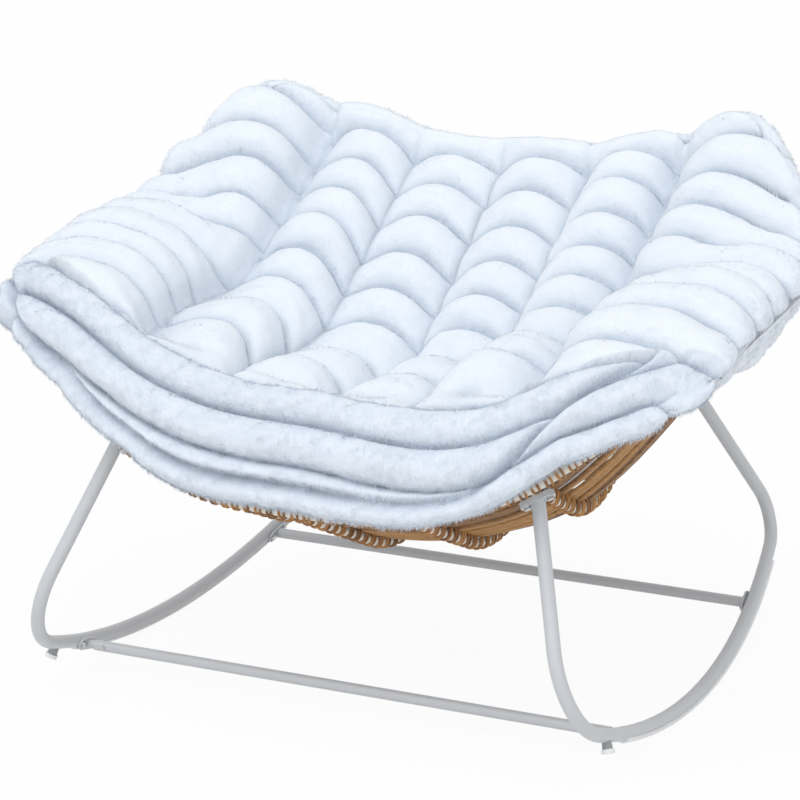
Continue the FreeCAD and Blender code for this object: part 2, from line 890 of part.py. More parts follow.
def both_sides(name, shape):
    parts["right_" + name] = shape
    parts["left_" + name] = mirrored(shape)


rocker = placed(tube(rocker_edges(), rocker_tube_d, rocker_wall), rocker_place)
for place in leg_joints.values():
    rocker = rocker.cut(space_above(place))
for place in bar_joints.values():
    rocker = rocker.cut(bar_bolt_holes(place))
for angle in strip_screw_angles():
    rocker = rocker.cut(placed(strip_screw(angle, bolt_hole_clearance), rocker_place))
both_sides("rocker", rocker)

both_sides("glide_strip", placed(glide_strip(), rocker_place))
screws = [placed(strip_screw(angle), rocker_place) for angle in strip_screw_angles()]
parts["glide_strip_screws"] = Part.makeCompound(screws + [mirrored(screw) for screw in screws])

stem, pad = foot_parts()
both_sides("stop_foot", placed(stem, rocker_place))
both_sides("stop_pad", placed(pad, rocker_place))

parts["front_crossbar"] = front_bar()
both_sides("front_bar_spigot", front_stub())
parts["front_bar_set_screws"] = Part.makeCompound([front_set_screw(), mirrored(front_set_screw())])
parts["rear_crossbar"] = whole_bar(bar_tube(bar_joints["rear"]))
both_sides("rear_bar_plate", bar_plate(bar_joints["rear"]))
for end, place in bar_joints.items():
    bolts = bar_bolts(place)
    parts[end + "_bar_bolts"] = Part.makeCompound(bolts + [mirrored(bolt) for bolt in bolts])

seat_bolts = []
seat_nuts = []
for end, place in leg_joints.items():
    both_sides(end + "_leg_flange", leg_flange(place, 0))
    both_sides(end + "_seat_bracket", leg_flange(place, 1))
    seat_bolts.extend(flange_bolts(place))
    seat_nuts.extend(flange_nuts(place))
parts["seat_bolts"] = Part.makeCompound(seat_bolts + [mirrored(bolt) for bolt in seat_bolts])
parts["seat_nuts"] = Part.makeCompound(seat_nuts + [mirrored(nut) for nut in seat_nuts])

rim_solid = sweep(rim_edges, rim_r)
parts["seat_rim"] = rim_solid.cut(sweep(rim_edges, rim_r - basket_wall))
parts["centre_rib"] = tube(rib_edges(0), rib_tube_d, basket_wall).cut(rim_solid)
for order, name in ((1, "inner_rib"), (2, "outer_rib")):
    both_sides(name, tube(rib_edges(order), rib_tube_d, basket_wall).cut(rim_solid))

wing_edge = (rim_half_width - wing_edge_inset, rim_half_width - wing_edge_inset)
both_sides("centre_rattan", rattan_panel(rib_ends(0), rib_ends(1)))
both_sides("middle_rattan", rattan_panel(rib_ends(1), rib_ends(2)))
both_sides("wing_rattan", rattan_panel(rib_ends(2), wing_edge))

parts["seat_cushion"] = seat_cushion()

os.makedirs("parts", exist_ok=True)
for name, shape in parts.items():
    shape.exportStep("parts/" + name + ".step")
whole = Part.makeCompound(list(parts.values())).BoundBox
print(len(parts), "parts, box", [round(v, 1) for v in (whole.XMin, whole.YMin, whole.ZMin)],
      [round(v, 1) for v in (whole.XMax, whole.YMax, whole.ZMax)])
for name, shape in parts.items():
    print(name, len(shape.Solids), "solids", round(shape.Volume / 1000.0, 2), "cm3", shape.isValid())
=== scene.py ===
# %% [markdown]
# # A wicker rocking chair with a quilted plush cushion
# The chair is a basket of painted tube and rattan on two rockers, with one thick quilted pad in it.
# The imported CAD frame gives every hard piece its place. This script adds what cloth, cane and light do.

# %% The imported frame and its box
import json
import math

import bpy
import numpy as np
from mathutils import Matrix, Vector
from mathutils.bvhtree import BVHTree


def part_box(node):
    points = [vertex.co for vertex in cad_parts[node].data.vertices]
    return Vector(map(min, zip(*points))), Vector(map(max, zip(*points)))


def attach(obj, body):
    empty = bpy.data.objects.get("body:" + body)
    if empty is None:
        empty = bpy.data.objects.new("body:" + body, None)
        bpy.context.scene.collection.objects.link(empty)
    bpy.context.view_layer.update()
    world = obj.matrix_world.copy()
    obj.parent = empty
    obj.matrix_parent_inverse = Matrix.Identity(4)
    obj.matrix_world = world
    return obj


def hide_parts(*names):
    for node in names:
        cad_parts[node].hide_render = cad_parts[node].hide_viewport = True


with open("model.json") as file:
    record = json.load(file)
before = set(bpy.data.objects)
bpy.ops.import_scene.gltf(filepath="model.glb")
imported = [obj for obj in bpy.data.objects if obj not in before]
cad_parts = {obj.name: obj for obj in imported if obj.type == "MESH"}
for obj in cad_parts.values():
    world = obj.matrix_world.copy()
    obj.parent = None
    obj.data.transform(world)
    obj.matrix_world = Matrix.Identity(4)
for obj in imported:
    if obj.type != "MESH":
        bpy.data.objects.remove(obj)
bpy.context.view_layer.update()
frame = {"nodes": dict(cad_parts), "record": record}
nodes = frame["nodes"]
rng = np.random.default_rng(41)

# %% [markdown]
# ## The camera and the light
# The photograph is a catalogue cut-out: a long lens from the front right, a little above the seat.
# One broad lamp from above and in front and a weaker one from the right stand for the studio's soft
# boxes.
# The background is white to the camera only, so that it doesn't add light to the pad.

# %% Camera
CAMERA_AZIMUTH = math.radians(26.01)
CAMERA_ELEVATION = math.radians(15.175)
CAMERA_DISTANCE = 4.7618
CAMERA_TARGET = Vector((0.018565, -0.130086, 0.432206))
LENS_MM = 148.455
SENSOR_MM = 36.0

back = Vector((math.sin(CAMERA_AZIMUTH) * math.cos(CAMERA_ELEVATION),
               -math.cos(CAMERA_AZIMUTH) * math.cos(CAMERA_ELEVATION),
               math.sin(CAMERA_ELEVATION)))
right = Vector((math.cos(CAMERA_AZIMUTH), math.sin(CAMERA_AZIMUTH), 0.0))
up = back.cross(right)
camera_data = bpy.data.cameras.new("photo_camera")
camera_data.lens = LENS_MM
camera_data.sensor_width = SENSOR_MM
camera = bpy.data.objects.new("photo_camera", camera_data)
camera.matrix_world = Matrix.Translation(CAMERA_TARGET + back * CAMERA_DISTANCE) @ Matrix(
    (right, up, back)).transposed().to_4x4()
bpy.context.scene.collection.objects.link(camera)
bpy.context.scene.camera = camera
bpy.context.scene.view_settings.view_transform = "Standard"
print("camera at", [round(c, 3) for c in camera.matrix_world.translation])

# %% Lamps and world
KEY_AIM, KEY_STRENGTH = (0.12, 0.55, -1.0), 1.22
FILL_AIM, FILL_STRENGTH = (-0.75, 0.75, -0.35), 0.45
LAMP_SOFTNESS = math.radians(60.0)
WORLD_LIGHT = 0.62
WHITE = (1.0, 1.0, 1.0, 1.0)


def sun(name, aim, strength):
    """A lamp that shines along aim, soft at the edges of its shadows."""
    lamp = bpy.data.lights.new(name, "SUN")
    lamp.energy = strength
    lamp.angle = LAMP_SOFTNESS
    holder = bpy.data.objects.new(name, lamp)
    holder.rotation_euler = Vector(aim).to_track_quat("-Z", "Y").to_euler()
    bpy.context.scene.collection.objects.link(holder)


def add_node(tree, kind, **settings):
    node = tree.nodes.new(kind)
    for label, value in settings.items():
        setattr(node, label, value)
    return node


def put(node, values):
    """Sets a node's sockets to plain values."""
    for label, value in values.items():
        node.inputs[label].default_value = value
    return node


def white_to_camera(tree, shader, kind="ShaderNodeBackground"):
    """Shows plain white to camera, mirror and glass rays, and shader to the rest."""
    path = add_node(tree, "ShaderNodeLightPath")
    either = add_node(tree, "ShaderNodeMath", operation="MAXIMUM")
    any_ray = add_node(tree, "ShaderNodeMath", operation="MAXIMUM")
    tree.links.new(path.outputs["Is Camera Ray"], either.inputs[0])
    tree.links.new(path.outputs["Is Glossy Ray"], either.inputs[1])
    tree.links.new(either.outputs[0], any_ray.inputs[0])
    tree.links.new(path.outputs["Is Transmission Ray"], any_ray.inputs[1])
    white = put(add_node(tree, kind), {"Color": WHITE, "Strength": 1.0})
    mix = add_node(tree, "ShaderNodeMixShader")
    tree.links.new(any_ray.outputs[0], mix.inputs[0])
    tree.links.new(shader, mix.inputs[1])
    tree.links.new(white.outputs[0], mix.inputs[2])
    return mix.outputs[0]


sun("key_lamp", KEY_AIM, KEY_STRENGTH)
sun("fill_lamp", FILL_AIM, FILL_STRENGTH)
world = bpy.data.worlds.new("studio")
bpy.context.scene.world = world
world.use_nodes = True
world_tree = world.node_tree
world_light = put(world_tree.nodes["Background"], {"Color": WHITE, "Strength": WORLD_LIGHT})
shown = white_to_camera(world_tree, world_light.outputs[0])
world_tree.links.new(shown, world_tree.nodes["World Output"].inputs["Surface"])
print("lamps", len(bpy.data.lights), "world light", WORLD_LIGHT)

# %% [markdown]
# ## Effects that several materials share
# Paint, cane and plush are all a little uneven. One group makes a slow mottling of a colour and
# another makes fine bumps. Each material sets its own strength on the sockets.


# %% Shader groups
def new_group(name, inputs, outputs):
    """An empty shader node group with its sockets and its two end nodes."""
    tree = bpy.data.node_groups.new(name, "ShaderNodeTree")
    for label, kind, value in inputs:
        socket = tree.interface.new_socket(label, in_out="INPUT", socket_type=kind)
        socket.default_value = value
    for label, kind in outputs:
        tree.interface.new_socket(label, in_out="OUTPUT", socket_type=kind)
    return tree, tree.nodes.new("NodeGroupInput"), tree.nodes.new("NodeGroupOutput")


def mottle_group():
    """Lightens and darkens a colour in soft patches."""
    tree, start, end = new_group(
        "mottle",
        [("Color", "NodeSocketColor", (0.8, 0.8, 0.8, 1.0)), ("Scale", "NodeSocketFloat", 20.0),
         ("Amount", "NodeSocketFloat", 0.1)],
        [("Color", "NodeSocketColor")])
    place = add_node(tree, "ShaderNodeTexCoord")
    noise = put(add_node(tree, "ShaderNodeTexNoise"), {"Detail": 4.0})
    tree.links.new(place.outputs["Object"], noise.inputs["Vector"])
    tree.links.new(start.outputs["Scale"], noise.inputs["Scale"])
    centred = put(add_node(tree, "ShaderNodeMath", operation="SUBTRACT"), {1: 0.5})
    scaled = put(add_node(tree, "ShaderNodeMath", operation="MULTIPLY_ADD"), {2: 1.0})
    tint = put(add_node(tree, "ShaderNodeMix", data_type="RGBA", blend_type="MULTIPLY"), {"Factor": 1.0})
    tree.links.new(noise.outputs["Fac"], centred.inputs[0])
    tree.links.new(centred.outputs[0], scaled.inputs[0])
    tree.links.new(start.outputs["Amount"], scaled.inputs[1])
    tree.links.new(start.outputs["Color"], tint.inputs["A"])
    tree.links.new(scaled.outputs[0], tint.inputs["B"])
    tree.links.new(tint.outputs["Result"], end.inputs["Color"])
    return tree


def grain_group():
    """Fine bumps, as a normal: small and even for paint, larger for cloth."""
    tree, start, end = new_group(
        "grain",
        [("Scale", "NodeSocketFloat", 300.0), ("Strength", "NodeSocketFloat", 0.2),
         ("Depth", "NodeSocketFloat", 0.001)],
        [("Normal", "NodeSocketVector")])
    place = add_node(tree, "ShaderNodeTexCoord")
    noise = put(add_node(tree, "ShaderNodeTexNoise"), {"Detail": 3.0})
    bump = add_node(tree, "ShaderNodeBump")
    tree.links.new(place.outputs["Object"], noise.inputs["Vector"])
    tree.links.new(start.outputs["Scale"], noise.inputs["Scale"])
    tree.links.new(start.outputs["Strength"], bump.inputs["Strength"])
    tree.links.new(start.outputs["Depth"], bump.inputs["Distance"])
    tree.links.new(noise.outputs["Fac"], bump.inputs["Height"])
    tree.links.new(bump.outputs["Normal"], end.inputs["Normal"])
    return tree


def new_material(name, values):
    """A material, its tree and its Principled shader with these values on its sockets."""
    material = bpy.data.materials.new(name)
    material.use_nodes = True
    tree = material.node_tree
    return material, tree, put(tree.nodes["Principled BSDF"], values)


def uneven_finish(tree, shader, colour, patches, grain):
    """Gives the shader a colour, plain or from a socket, mottled and grained by the shared groups."""
    mottled = put(add_node(tree, "ShaderNodeGroup", node_tree=MOTTLE), patches)
    if isinstance(colour, tuple):
        put(mottled, {"Color": colour})
    else:
        tree.links.new(colour, mottled.inputs["Color"])
    grained = put(add_node(tree, "ShaderNodeGroup", node_tree=GRAIN), grain)
    tree.links.new(mottled.outputs["Color"], shader.inputs["Base Color"])
    tree.links.new(grained.outputs["Normal"], shader.inputs["Normal"])


MOTTLE = mottle_group()
GRAIN = grain_group()
print("shader groups:", MOTTLE.name, GRAIN.name)

# %% [markdown]
# ## Hard finishes
# The rockers and crossbars are powder coated in a light silver grey. The basket's tubes are cream.
# Screws are zinc plated, the glide strips and pads are white plastic and the stop feet are grey.


# %% Paint, steel and plastic
def linear(red, green, blue):
    """A colour written as 0 to 255 screen values, for a shader socket."""
    shares = [value / 255.0 for value in (red, green, blue)]
    return tuple(s / 12.92 if s < 0.04045 else ((s + 0.055) / 1.055) ** 2.4 for s in shares) + (1.0,)


def finish_material(name, colour, roughness, metallic=0.0, grain=0.15):
    """A hard finish with faint patches and a fine grain."""
    material, tree, shader = new_material(name, {"Roughness": roughness, "Metallic": metallic})
    uneven_finish(tree, shader, colour, {"Scale": 14.0, "Amount": 0.08},
                  {"Scale": 700.0, "Strength": grain, "Depth": 0.0004})
    return material


finishes = {
    "frame_paint": finish_material("frame_paint", linear(196, 199, 203), 0.38),
    "cream_paint": finish_material("cream_paint", linear(228, 222, 210), 0.45),
    "fastener_steel": finish_material("fastener_steel", linear(196, 197, 199), 0.34, metallic=0.9),
    "white_plastic": finish_material("white_plastic", linear(233, 234, 235), 0.5, grain=0.1),
    "grey_plastic": finish_material("grey_plastic", linear(150, 153, 157), 0.5, grain=0.1),
}
slot_of = {entry["node"]: entry["material_slot"] for entry in frame["record"]["subparts"]}
painted = 0
for node_name, node in nodes.items():
    slot = slot_of.get(node_name)
    if slot in finishes:
        node.data.materials.clear()
        node.data.materials.append(finishes[slot])
        painted += 1
print("painted", painted, "CAD nodes with", len(finishes), "finishes")

# %% [markdown]
# ## Where the basket's tubes run
# The cane is laid on the tubes, so the script first finds each tube's middle line in the frame.
# A rib is cut by upright rays, whose middle is the axis. The rim is a hoop: its points are averaged
# by angle and then centred in the bore by rays across it.

# %% Middle lines of the ribs and the rim
TUBE_R = 0.007
RIB_NAMES = ("left_outer_rib", "left_inner_rib", "centre_rib", "right_inner_rib", "right_outer_rib")
RIB_SAMPLES = 60
RIM_SAMPLES = 240
RIM_SPREAD = 0.03
RIM_LEAST_WEIGHT = 8.0
RIM_WIDER = 1.5
RIM_BORE = 2.2 * TUBE_R
RIB_MARGIN = 0.02
RAY_TOP, RAY_FOOT = 2.0, -1.0
UPWARD, DOWNWARD = Vector((0, 0, 1)), Vector((0, 0, -1))


def node_tree_of(name):
    mesh = nodes[name].data
    points = [vertex.co.copy() for vertex in mesh.vertices]
    return BVHTree.FromPolygons(points, [tuple(face.vertices) for face in mesh.polygons])


def rib_line(name):
    """Points of a rib's axis from its front end to its back end."""
    tree = node_tree_of(name)
    low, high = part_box(name)
    side = 1.0 if low[0] + high[0] > 0.0 else -1.0
    wide = max(abs(low[0]), abs(high[0])) - TUBE_R
    near = min(abs(low[0]), abs(high[0])) + TUBE_R
    if name == "centre_rib":
        wide = near = 0.0
    line = []
    for share in np.linspace(RIB_MARGIN, 1.0 - RIB_MARGIN, RIB_SAMPLES):
        y = low[1] + share * (high[1] - low[1])
        x = side * (wide + (near - wide) * share)
        over = tree.ray_cast(Vector((x, y, RAY_TOP)), DOWNWARD)[0]
        under = tree.ray_cast(Vector((x, y, RAY_FOOT)), UPWARD)[0]
        if over is not None and under is not None:
            line.append((x, y, (over.z + under.z) / 2.0))
    return np.array(line)


def rim_line():
    """Points of the hoop's axis, once round."""
    tree = node_tree_of("seat_rim")
    points = np.array([vertex.co[:] for vertex in nodes["seat_rim"].data.vertices])
    low, high = (np.array(corner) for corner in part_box("seat_rim"))
    middle, half = (low + high) / 2.0, (high - low) / 2.0
    angle = np.arctan2((points[:, 1] - middle[1]) / half[1], (points[:, 0] - middle[0]) / half[0])
    line = []
    for turn in np.linspace(-math.pi, math.pi, RIM_SAMPLES, endpoint=False):
        off = np.angle(np.exp(1j * (angle - turn)))
        spread = RIM_SPREAD
        weight = np.exp(-(off / spread) ** 2)
        while weight.sum() < RIM_LEAST_WEIGHT:
            spread *= RIM_WIDER
            weight = np.exp(-(off / spread) ** 2)
        line.append((points * weight[:, None]).sum(axis=0) / weight.sum())
    line = np.array(line)
    for _ in range(2):
        heading = np.roll(line, -1, axis=0) - np.roll(line, 1, axis=0)
        for i, point in enumerate(line):
            along = Vector(heading[i]).normalized()
            across = along.cross(UPWARD).normalized()
            for side in (across, along.cross(across)):
                ahead = tree.ray_cast(Vector(point), side)[3]
                behind = tree.ray_cast(Vector(point), -side)[3]
                if ahead is not None and behind is not None and ahead + behind < RIM_BORE:
                    point = point + np.array(side) * (ahead - behind) / 2.0
            line[i] = point
    return line


ribs = {name: rib_line(name) for name in RIB_NAMES}
rim = rim_line()
print("rib points", [len(line) for line in ribs.values()], "rim points", len(rim))

# %% [markdown]
# ## Meshes from lines
# Cane is round stock, so rods and lashing share one maker: a ring of points swept along a path.
# Each tube keeps a tone and its length in attributes, which the cane's colour reads.


# %% Sweeping a tube along paths
NEARLY_UPRIGHT = 0.95


def frames_along(path):
    """Two directions across an open path at each of its points."""
    heading = np.gradient(path, axis=0)
    heading /= np.linalg.norm(heading, axis=1)[:, None]
    guide = np.array((0.0, 0.0, 1.0))
    if abs(heading[:, 2]).max() > NEARLY_UPRIGHT:
        guide = np.cross(heading[0], heading[len(heading) // 4])
        guide /= np.linalg.norm(guide)
    side = np.cross(heading, guide)
    side /= np.linalg.norm(side, axis=1)[:, None]
    return side, np.cross(side, heading)


def swept(paths, radii, sides, closed=False, guides=None):
    """Points, faces, tones and lengths of round tubes along the paths."""
    points, faces, tones, runs = [], [], [], []
    turns = np.linspace(0.0, 2.0 * math.pi, sides, endpoint=False)
    first = 0
    for order, path in enumerate(paths):
        if guides is None:
            one, two = frames_along(path)
        else:
            two = np.tile(guides[order], (len(path), 1))
            heading = np.roll(path, -1, axis=0) - np.roll(path, 1, axis=0)
            one = np.cross(heading, two)
            one /= np.linalg.norm(one, axis=1)[:, None]
        radius = radii[order]
        ring = (one[:, None, :] * np.cos(turns)[None, :, None]
                + two[:, None, :] * np.sin(turns)[None, :, None])
        points.append((path[:, None, :] + ring * radius).reshape(-1, 3))
        count = len(path)
        rows = np.arange(count if closed else count - 1)
        here = first + rows[:, None] * sides
        after = first + ((rows[:, None] + 1) % count) * sides
        place = np.arange(sides)[None, :]
        beside = (place + 1) % sides
        quads = np.stack([here + place, here + beside, after + beside, after + place], axis=-1)
        faces.append(quads.reshape(-1, 4))
        if not closed:
            faces.append(np.array([first + np.arange(sides)[::-1]]))
            faces.append(np.array([first + (count - 1) * sides + np.arange(sides)]))
        step = np.linalg.norm(np.diff(path, axis=0), axis=1)
        run = np.concatenate([[0.0], np.cumsum(step)])
        tones.append(np.full(count * sides, rng.random()))
        runs.append(np.repeat(run, sides))
        first += count * sides
    every_face = [tuple(int(i) for i in face) for block in faces for face in block]
    return np.concatenate(points), every_face, np.concatenate(tones), np.concatenate(runs)


def new_piece(name, points, faces, material, values=None):
    """A smooth mesh object with its float attributes."""
    mesh = bpy.data.meshes.new(name)
    mesh.from_pydata([tuple(p) for p in points], [], faces)
    for label, numbers in (values or {}).items():
        attribute = mesh.attributes.new(label, "FLOAT", "POINT")
        attribute.data.foreach_set("value", np.asarray(numbers, dtype=np.float32))
    mesh.polygons.foreach_set("use_smooth", [True] * len(mesh.polygons))
    mesh.materials.append(material)
    piece = bpy.data.objects.new(name, mesh)
    bpy.context.scene.collection.objects.link(piece)
    return piece


print("tube maker ready")

# %% [markdown]
# ## Cane
# Rattan is brown with pale streaks along the pole and darker rings where leaves grew.
# The tone of each pole differs, which reads as natural stock rather than plastic.


# %% Cane material
STREAK_STRETCH = (6.0, 260.0, 260.0)
STREAK_SHARE = 0.55
TONE_SHARE = 0.45
RAMP_ENDS = (0.2, 0.8)
LEAF_SPACING = 0.11
LEAF_WIDTH = 0.004
LEAF_DARK = 0.62


def cane_material(name, dark, light, roughness):
    """Streaked along the pole, ringed where leaves grew and toned pole by pole."""
    material, tree, shader = new_material(name, {"Roughness": roughness})
    tone = add_node(tree, "ShaderNodeAttribute", attribute_name="tone")
    run = add_node(tree, "ShaderNodeAttribute", attribute_name="run")
    place = add_node(tree, "ShaderNodeTexCoord")
    stretch = put(add_node(tree, "ShaderNodeMapping"), {"Scale": STREAK_STRETCH})
    streaks = put(add_node(tree, "ShaderNodeTexNoise"), {"Scale": 1.0, "Detail": 3.0})
    tree.links.new(place.outputs["Object"], stretch.inputs["Vector"])
    tree.links.new(stretch.outputs["Vector"], streaks.inputs["Vector"])
    blend = put(add_node(tree, "ShaderNodeMath", operation="MULTIPLY_ADD"), {1: STREAK_SHARE})
    spread = put(add_node(tree, "ShaderNodeMath", operation="MULTIPLY"), {1: TONE_SHARE})
    tree.links.new(streaks.outputs["Fac"], blend.inputs[0])
    tree.links.new(tone.outputs["Fac"], spread.inputs[0])
    tree.links.new(spread.outputs[0], blend.inputs[2])
    ramp = add_node(tree, "ShaderNodeValToRGB")
    for element, position, colour in zip(ramp.color_ramp.elements, RAMP_ENDS, (dark, light)):
        element.position = position
        element.color = colour
    tree.links.new(blend.outputs[0], ramp.inputs["Fac"])
    rings = put(add_node(tree, "ShaderNodeMath", operation="PINGPONG"), {1: LEAF_SPACING})
    leaf = put(add_node(tree, "ShaderNodeMapRange"),
               {"From Min": 0.0, "From Max": LEAF_WIDTH, "To Min": LEAF_DARK, "To Max": 1.0})
    tree.links.new(run.outputs["Fac"], rings.inputs[0])
    tree.links.new(rings.outputs[0], leaf.inputs["Value"])
    ringed = put(add_node(tree, "ShaderNodeMix", data_type="RGBA", blend_type="MULTIPLY"), {"Factor": 1.0})
    tree.links.new(ramp.outputs["Color"], ringed.inputs["A"])
    tree.links.new(leaf.outputs["Result"], ringed.inputs["B"])
    uneven_finish(tree, shader, ringed.outputs["Result"], {"Scale": 60.0, "Amount": 0.25},
                  {"Scale": 420.0, "Strength": 0.3, "Depth": 0.0006})
    return material


cane = cane_material("cane", linear(94, 60, 30), linear(200, 150, 92), 0.45)
lashing_cane = cane_material("lashing_cane", linear(112, 72, 38), linear(194, 142, 84), 0.55)
print("cane materials", cane.name, lashing_cane.name)

# %% [markdown]
# ## Rattan rods across the ribs
# Whole poles lie in twos and threes across the basket, resting on the ribs and ending on the rim.
# A rod is a smooth curve through its points over the ribs, so it sags and rises as a bent pole does.

# %% Rods
ROD_R = 0.0038
ROD_PITCHES = (0.0098, 0.0320, 0.0098, 0.0100, 0.0300)
ROD_JITTER = 0.0011
ROD_SIDES = 7
ROD_STEP = 0.022
RIM_INSET = np.array((0.003, 0.0, 0.0))
REST_MARGIN = 0.03
FIRST_ROD = 0.012
LAST_ROD = 0.008
ROD_WAVE, ROD_WAVE_START, ROD_WAVE_RISE = 9.0, 6.3, 0.4
LEAST_ROD, ROD_SPREAD = 0.92, 0.16
LEAST_ROD_POINTS = 6


def rim_crossings(y):
    """The rim's two points at this y: its left and its right one."""
    after = np.roll(rim, -1, axis=0)
    found = []
    for a, b in zip(rim, after):
        if (a[1] - y) * (b[1] - y) < 0.0:
            found.append(a + (b - a) * (y - a[1]) / (b[1] - a[1]))
    found.sort(key=lambda point: point[0])
    return found


def smooth_through(xs, zs, at):
    """A cubic through the points, with the slope at each taken from its neighbours."""
    slopes = np.gradient(zs, xs)
    place = np.clip(np.searchsorted(xs, at) - 1, 0, len(xs) - 2)
    width = xs[place + 1] - xs[place]
    t = (at - xs[place]) / width
    return ((2 * t ** 3 - 3 * t ** 2 + 1) * zs[place] + (t ** 3 - 2 * t ** 2 + t) * width * slopes[place]
            + (3 * t ** 2 - 2 * t ** 3) * zs[place + 1] + (t ** 3 - t ** 2) * width * slopes[place + 1])


def rests_at(y):
    """Points on which a rod at this y lies: the rim, the ribs between, the rim."""
    ends = rim_crossings(y)
    if len(ends) != 2:
        return None
    rests = [ends[0] + RIM_INSET]
    for line in ribs.values():
        x = np.interp(y, line[:, 1], line[:, 0])
        z = np.interp(y, line[:, 1], line[:, 2])
        if ends[0][0] + REST_MARGIN < x < ends[1][0] - REST_MARGIN:
            rests.append(np.array((x, y, z)))
    rests.append(ends[1] - RIM_INSET)
    return np.array(rests)


def basket_slope(line):
    """How much higher than its radius a tube's top is, for its slope from front to back."""
    rise = np.gradient(line[:, 2], line[:, 1])
    return np.sqrt(1.0 + rise ** 2)


centre_line = ribs["centre_rib"]
centre_run = np.concatenate([[0.0], np.cumsum(np.linalg.norm(np.diff(centre_line, axis=0), axis=1))])
rod_paths = []
rod_places = np.cumsum([FIRST_ROD] + list(ROD_PITCHES) * int(centre_run[-1] / sum(ROD_PITCHES)))
for run in rod_places[rod_places < centre_run[-1] - LAST_ROD]:
    y = np.interp(run, centre_run, centre_line[:, 1])
    rests = rests_at(y)
    if rests is None:
        continue
    stretch = np.interp(y, centre_line[:, 1], basket_slope(centre_line))
    lift = (TUBE_R + ROD_R) * stretch
    steps = int((rests[-1, 0] - rests[0, 0]) / ROD_STEP)
    xs = np.linspace(rests[0, 0], rests[-1, 0], max(LEAST_ROD_POINTS, steps))
    zs = smooth_through(rests[:, 0], rests[:, 2], xs) + lift
    wander = ROD_JITTER * np.sin(xs * ROD_WAVE + rng.random() * ROD_WAVE_START)
    wander += ROD_JITTER * (rng.random() - 0.5)
    rod_paths.append(np.stack([xs, y + wander, zs + ROD_WAVE_RISE * wander], axis=1))
rod_radii = [ROD_R * (LEAST_ROD + ROD_SPREAD * rng.random()) for _ in rod_paths]
rod_points, rod_faces, rod_tones, rod_runs = swept(rod_paths, rod_radii, ROD_SIDES)
rattan_rods = new_piece("rattan_rods", rod_points, rod_faces, cane, {"tone": rod_tones, "run": rod_runs})
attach(rattan_rods, "frame")
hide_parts("left_centre_rattan", "right_centre_rattan", "left_middle_rattan",
            "right_middle_rattan", "left_wing_rattan", "right_wing_rattan")
print("rods", len(rod_paths), "faces", len(rod_faces))

# %% [markdown]
# ## Lashing round the ribs and the rim
# Split cane is wound twice round the tube and the rod on it, with a gap of bare paint before the next.
# Each turn is a closed ring that leans a little one way or the other and stands out over the rod.

# %% Lashing
LASH_R = 0.0019
RIB_LASH_PITCH = 0.025
RIM_LASH_PITCH = 0.019
LASH_APART = 0.0042
LASH_LEAN = 0.22
LASH_POINTS = 14
LASH_SIDES = 5
LASH_OVER_ROD = 0.0074
LASH_JITTER = 0.0012
HEADING_REACH = 0.004
LASH_BED = 0.9
LEAST_LASH, LASH_SPREAD = 0.9, 0.2


def even_places(line, pitch, closed):
    """Points and headings along a line, a pitch apart."""
    if closed:
        line = np.concatenate([line, line[:1]])
    step = np.linalg.norm(np.diff(line, axis=0), axis=1)
    run = np.concatenate([[0.0], np.cumsum(step)])
    count = int(run[-1] / pitch)
    at = (np.arange(count) + 0.5) * run[-1] / count
    points, ahead, behind = (
        np.stack([np.interp(at + shift, run, line[:, axis]) for axis in range(3)], axis=1)
        for shift in (0.0, HEADING_REACH, -HEADING_REACH))
    heading = ahead - behind
    return points, heading / np.linalg.norm(heading, axis=1)[:, None]


def lashings_on(line, pitch, closed, over_rod):
    """Two leaning turns of cane at each place along a tube."""
    paths, guides = [], []
    turns = np.linspace(0.0, 2.0 * math.pi, LASH_POINTS, endpoint=False)
    for point, heading in zip(*even_places(line, pitch, closed)):
        side = np.cross(heading, (0.0, 0.0, 1.0))
        side /= np.linalg.norm(side)
        top = np.cross(side, heading)
        reach = TUBE_R + LASH_BED * LASH_R + over_rod * np.clip(np.cos(turns), 0.0, 1.0) ** 2
        for sign in (-1.0, 1.0):
            lean = sign * LASH_LEAN * (0.5 + rng.random())
            shift = sign * LASH_APART / 2.0 + LASH_JITTER * (rng.random() - 0.5)
            ring = (top[None, :] * (reach * np.cos(turns))[:, None]
                    + side[None, :] * (reach * np.sin(turns))[:, None]
                    + heading[None, :] * (shift + lean * reach * np.sin(turns))[:, None])
            paths.append(point[None, :] + ring)
            guides.append(heading)
    return paths, guides


lash_paths, lash_guides = [], []
lashed_tubes = [(line, RIB_LASH_PITCH, False, LASH_OVER_ROD) for line in ribs.values()]
lashed_tubes.append((rim, RIM_LASH_PITCH, True, 0.0))
for tube in lashed_tubes:
    made, leading = lashings_on(*tube)
    lash_paths += made
    lash_guides += leading
lash_radii = [LASH_R * (LEAST_LASH + LASH_SPREAD * rng.random()) for _ in lash_paths]
lash_points, lash_faces, lash_tones, lash_runs = swept(
    lash_paths, lash_radii, LASH_SIDES, True, lash_guides)
lashing = new_piece("cane_lashing", lash_points, lash_faces, lashing_cane,
                    {"tone": lash_tones, "run": lash_runs})
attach(lashing, "frame")
print("lashing turns", len(lash_paths), "faces", len(lash_faces))

# %% [markdown]
# ## The form of the cushion before quilting
# The pad is one bag: a top that dips into the seat and climbs the back, a rolled border at the front,
# a thinner one at the back and a bottom that lies on the cane. It is drawn as closed outlines across
# the chair, one for each x. Its underside is the CAD cushion's own.

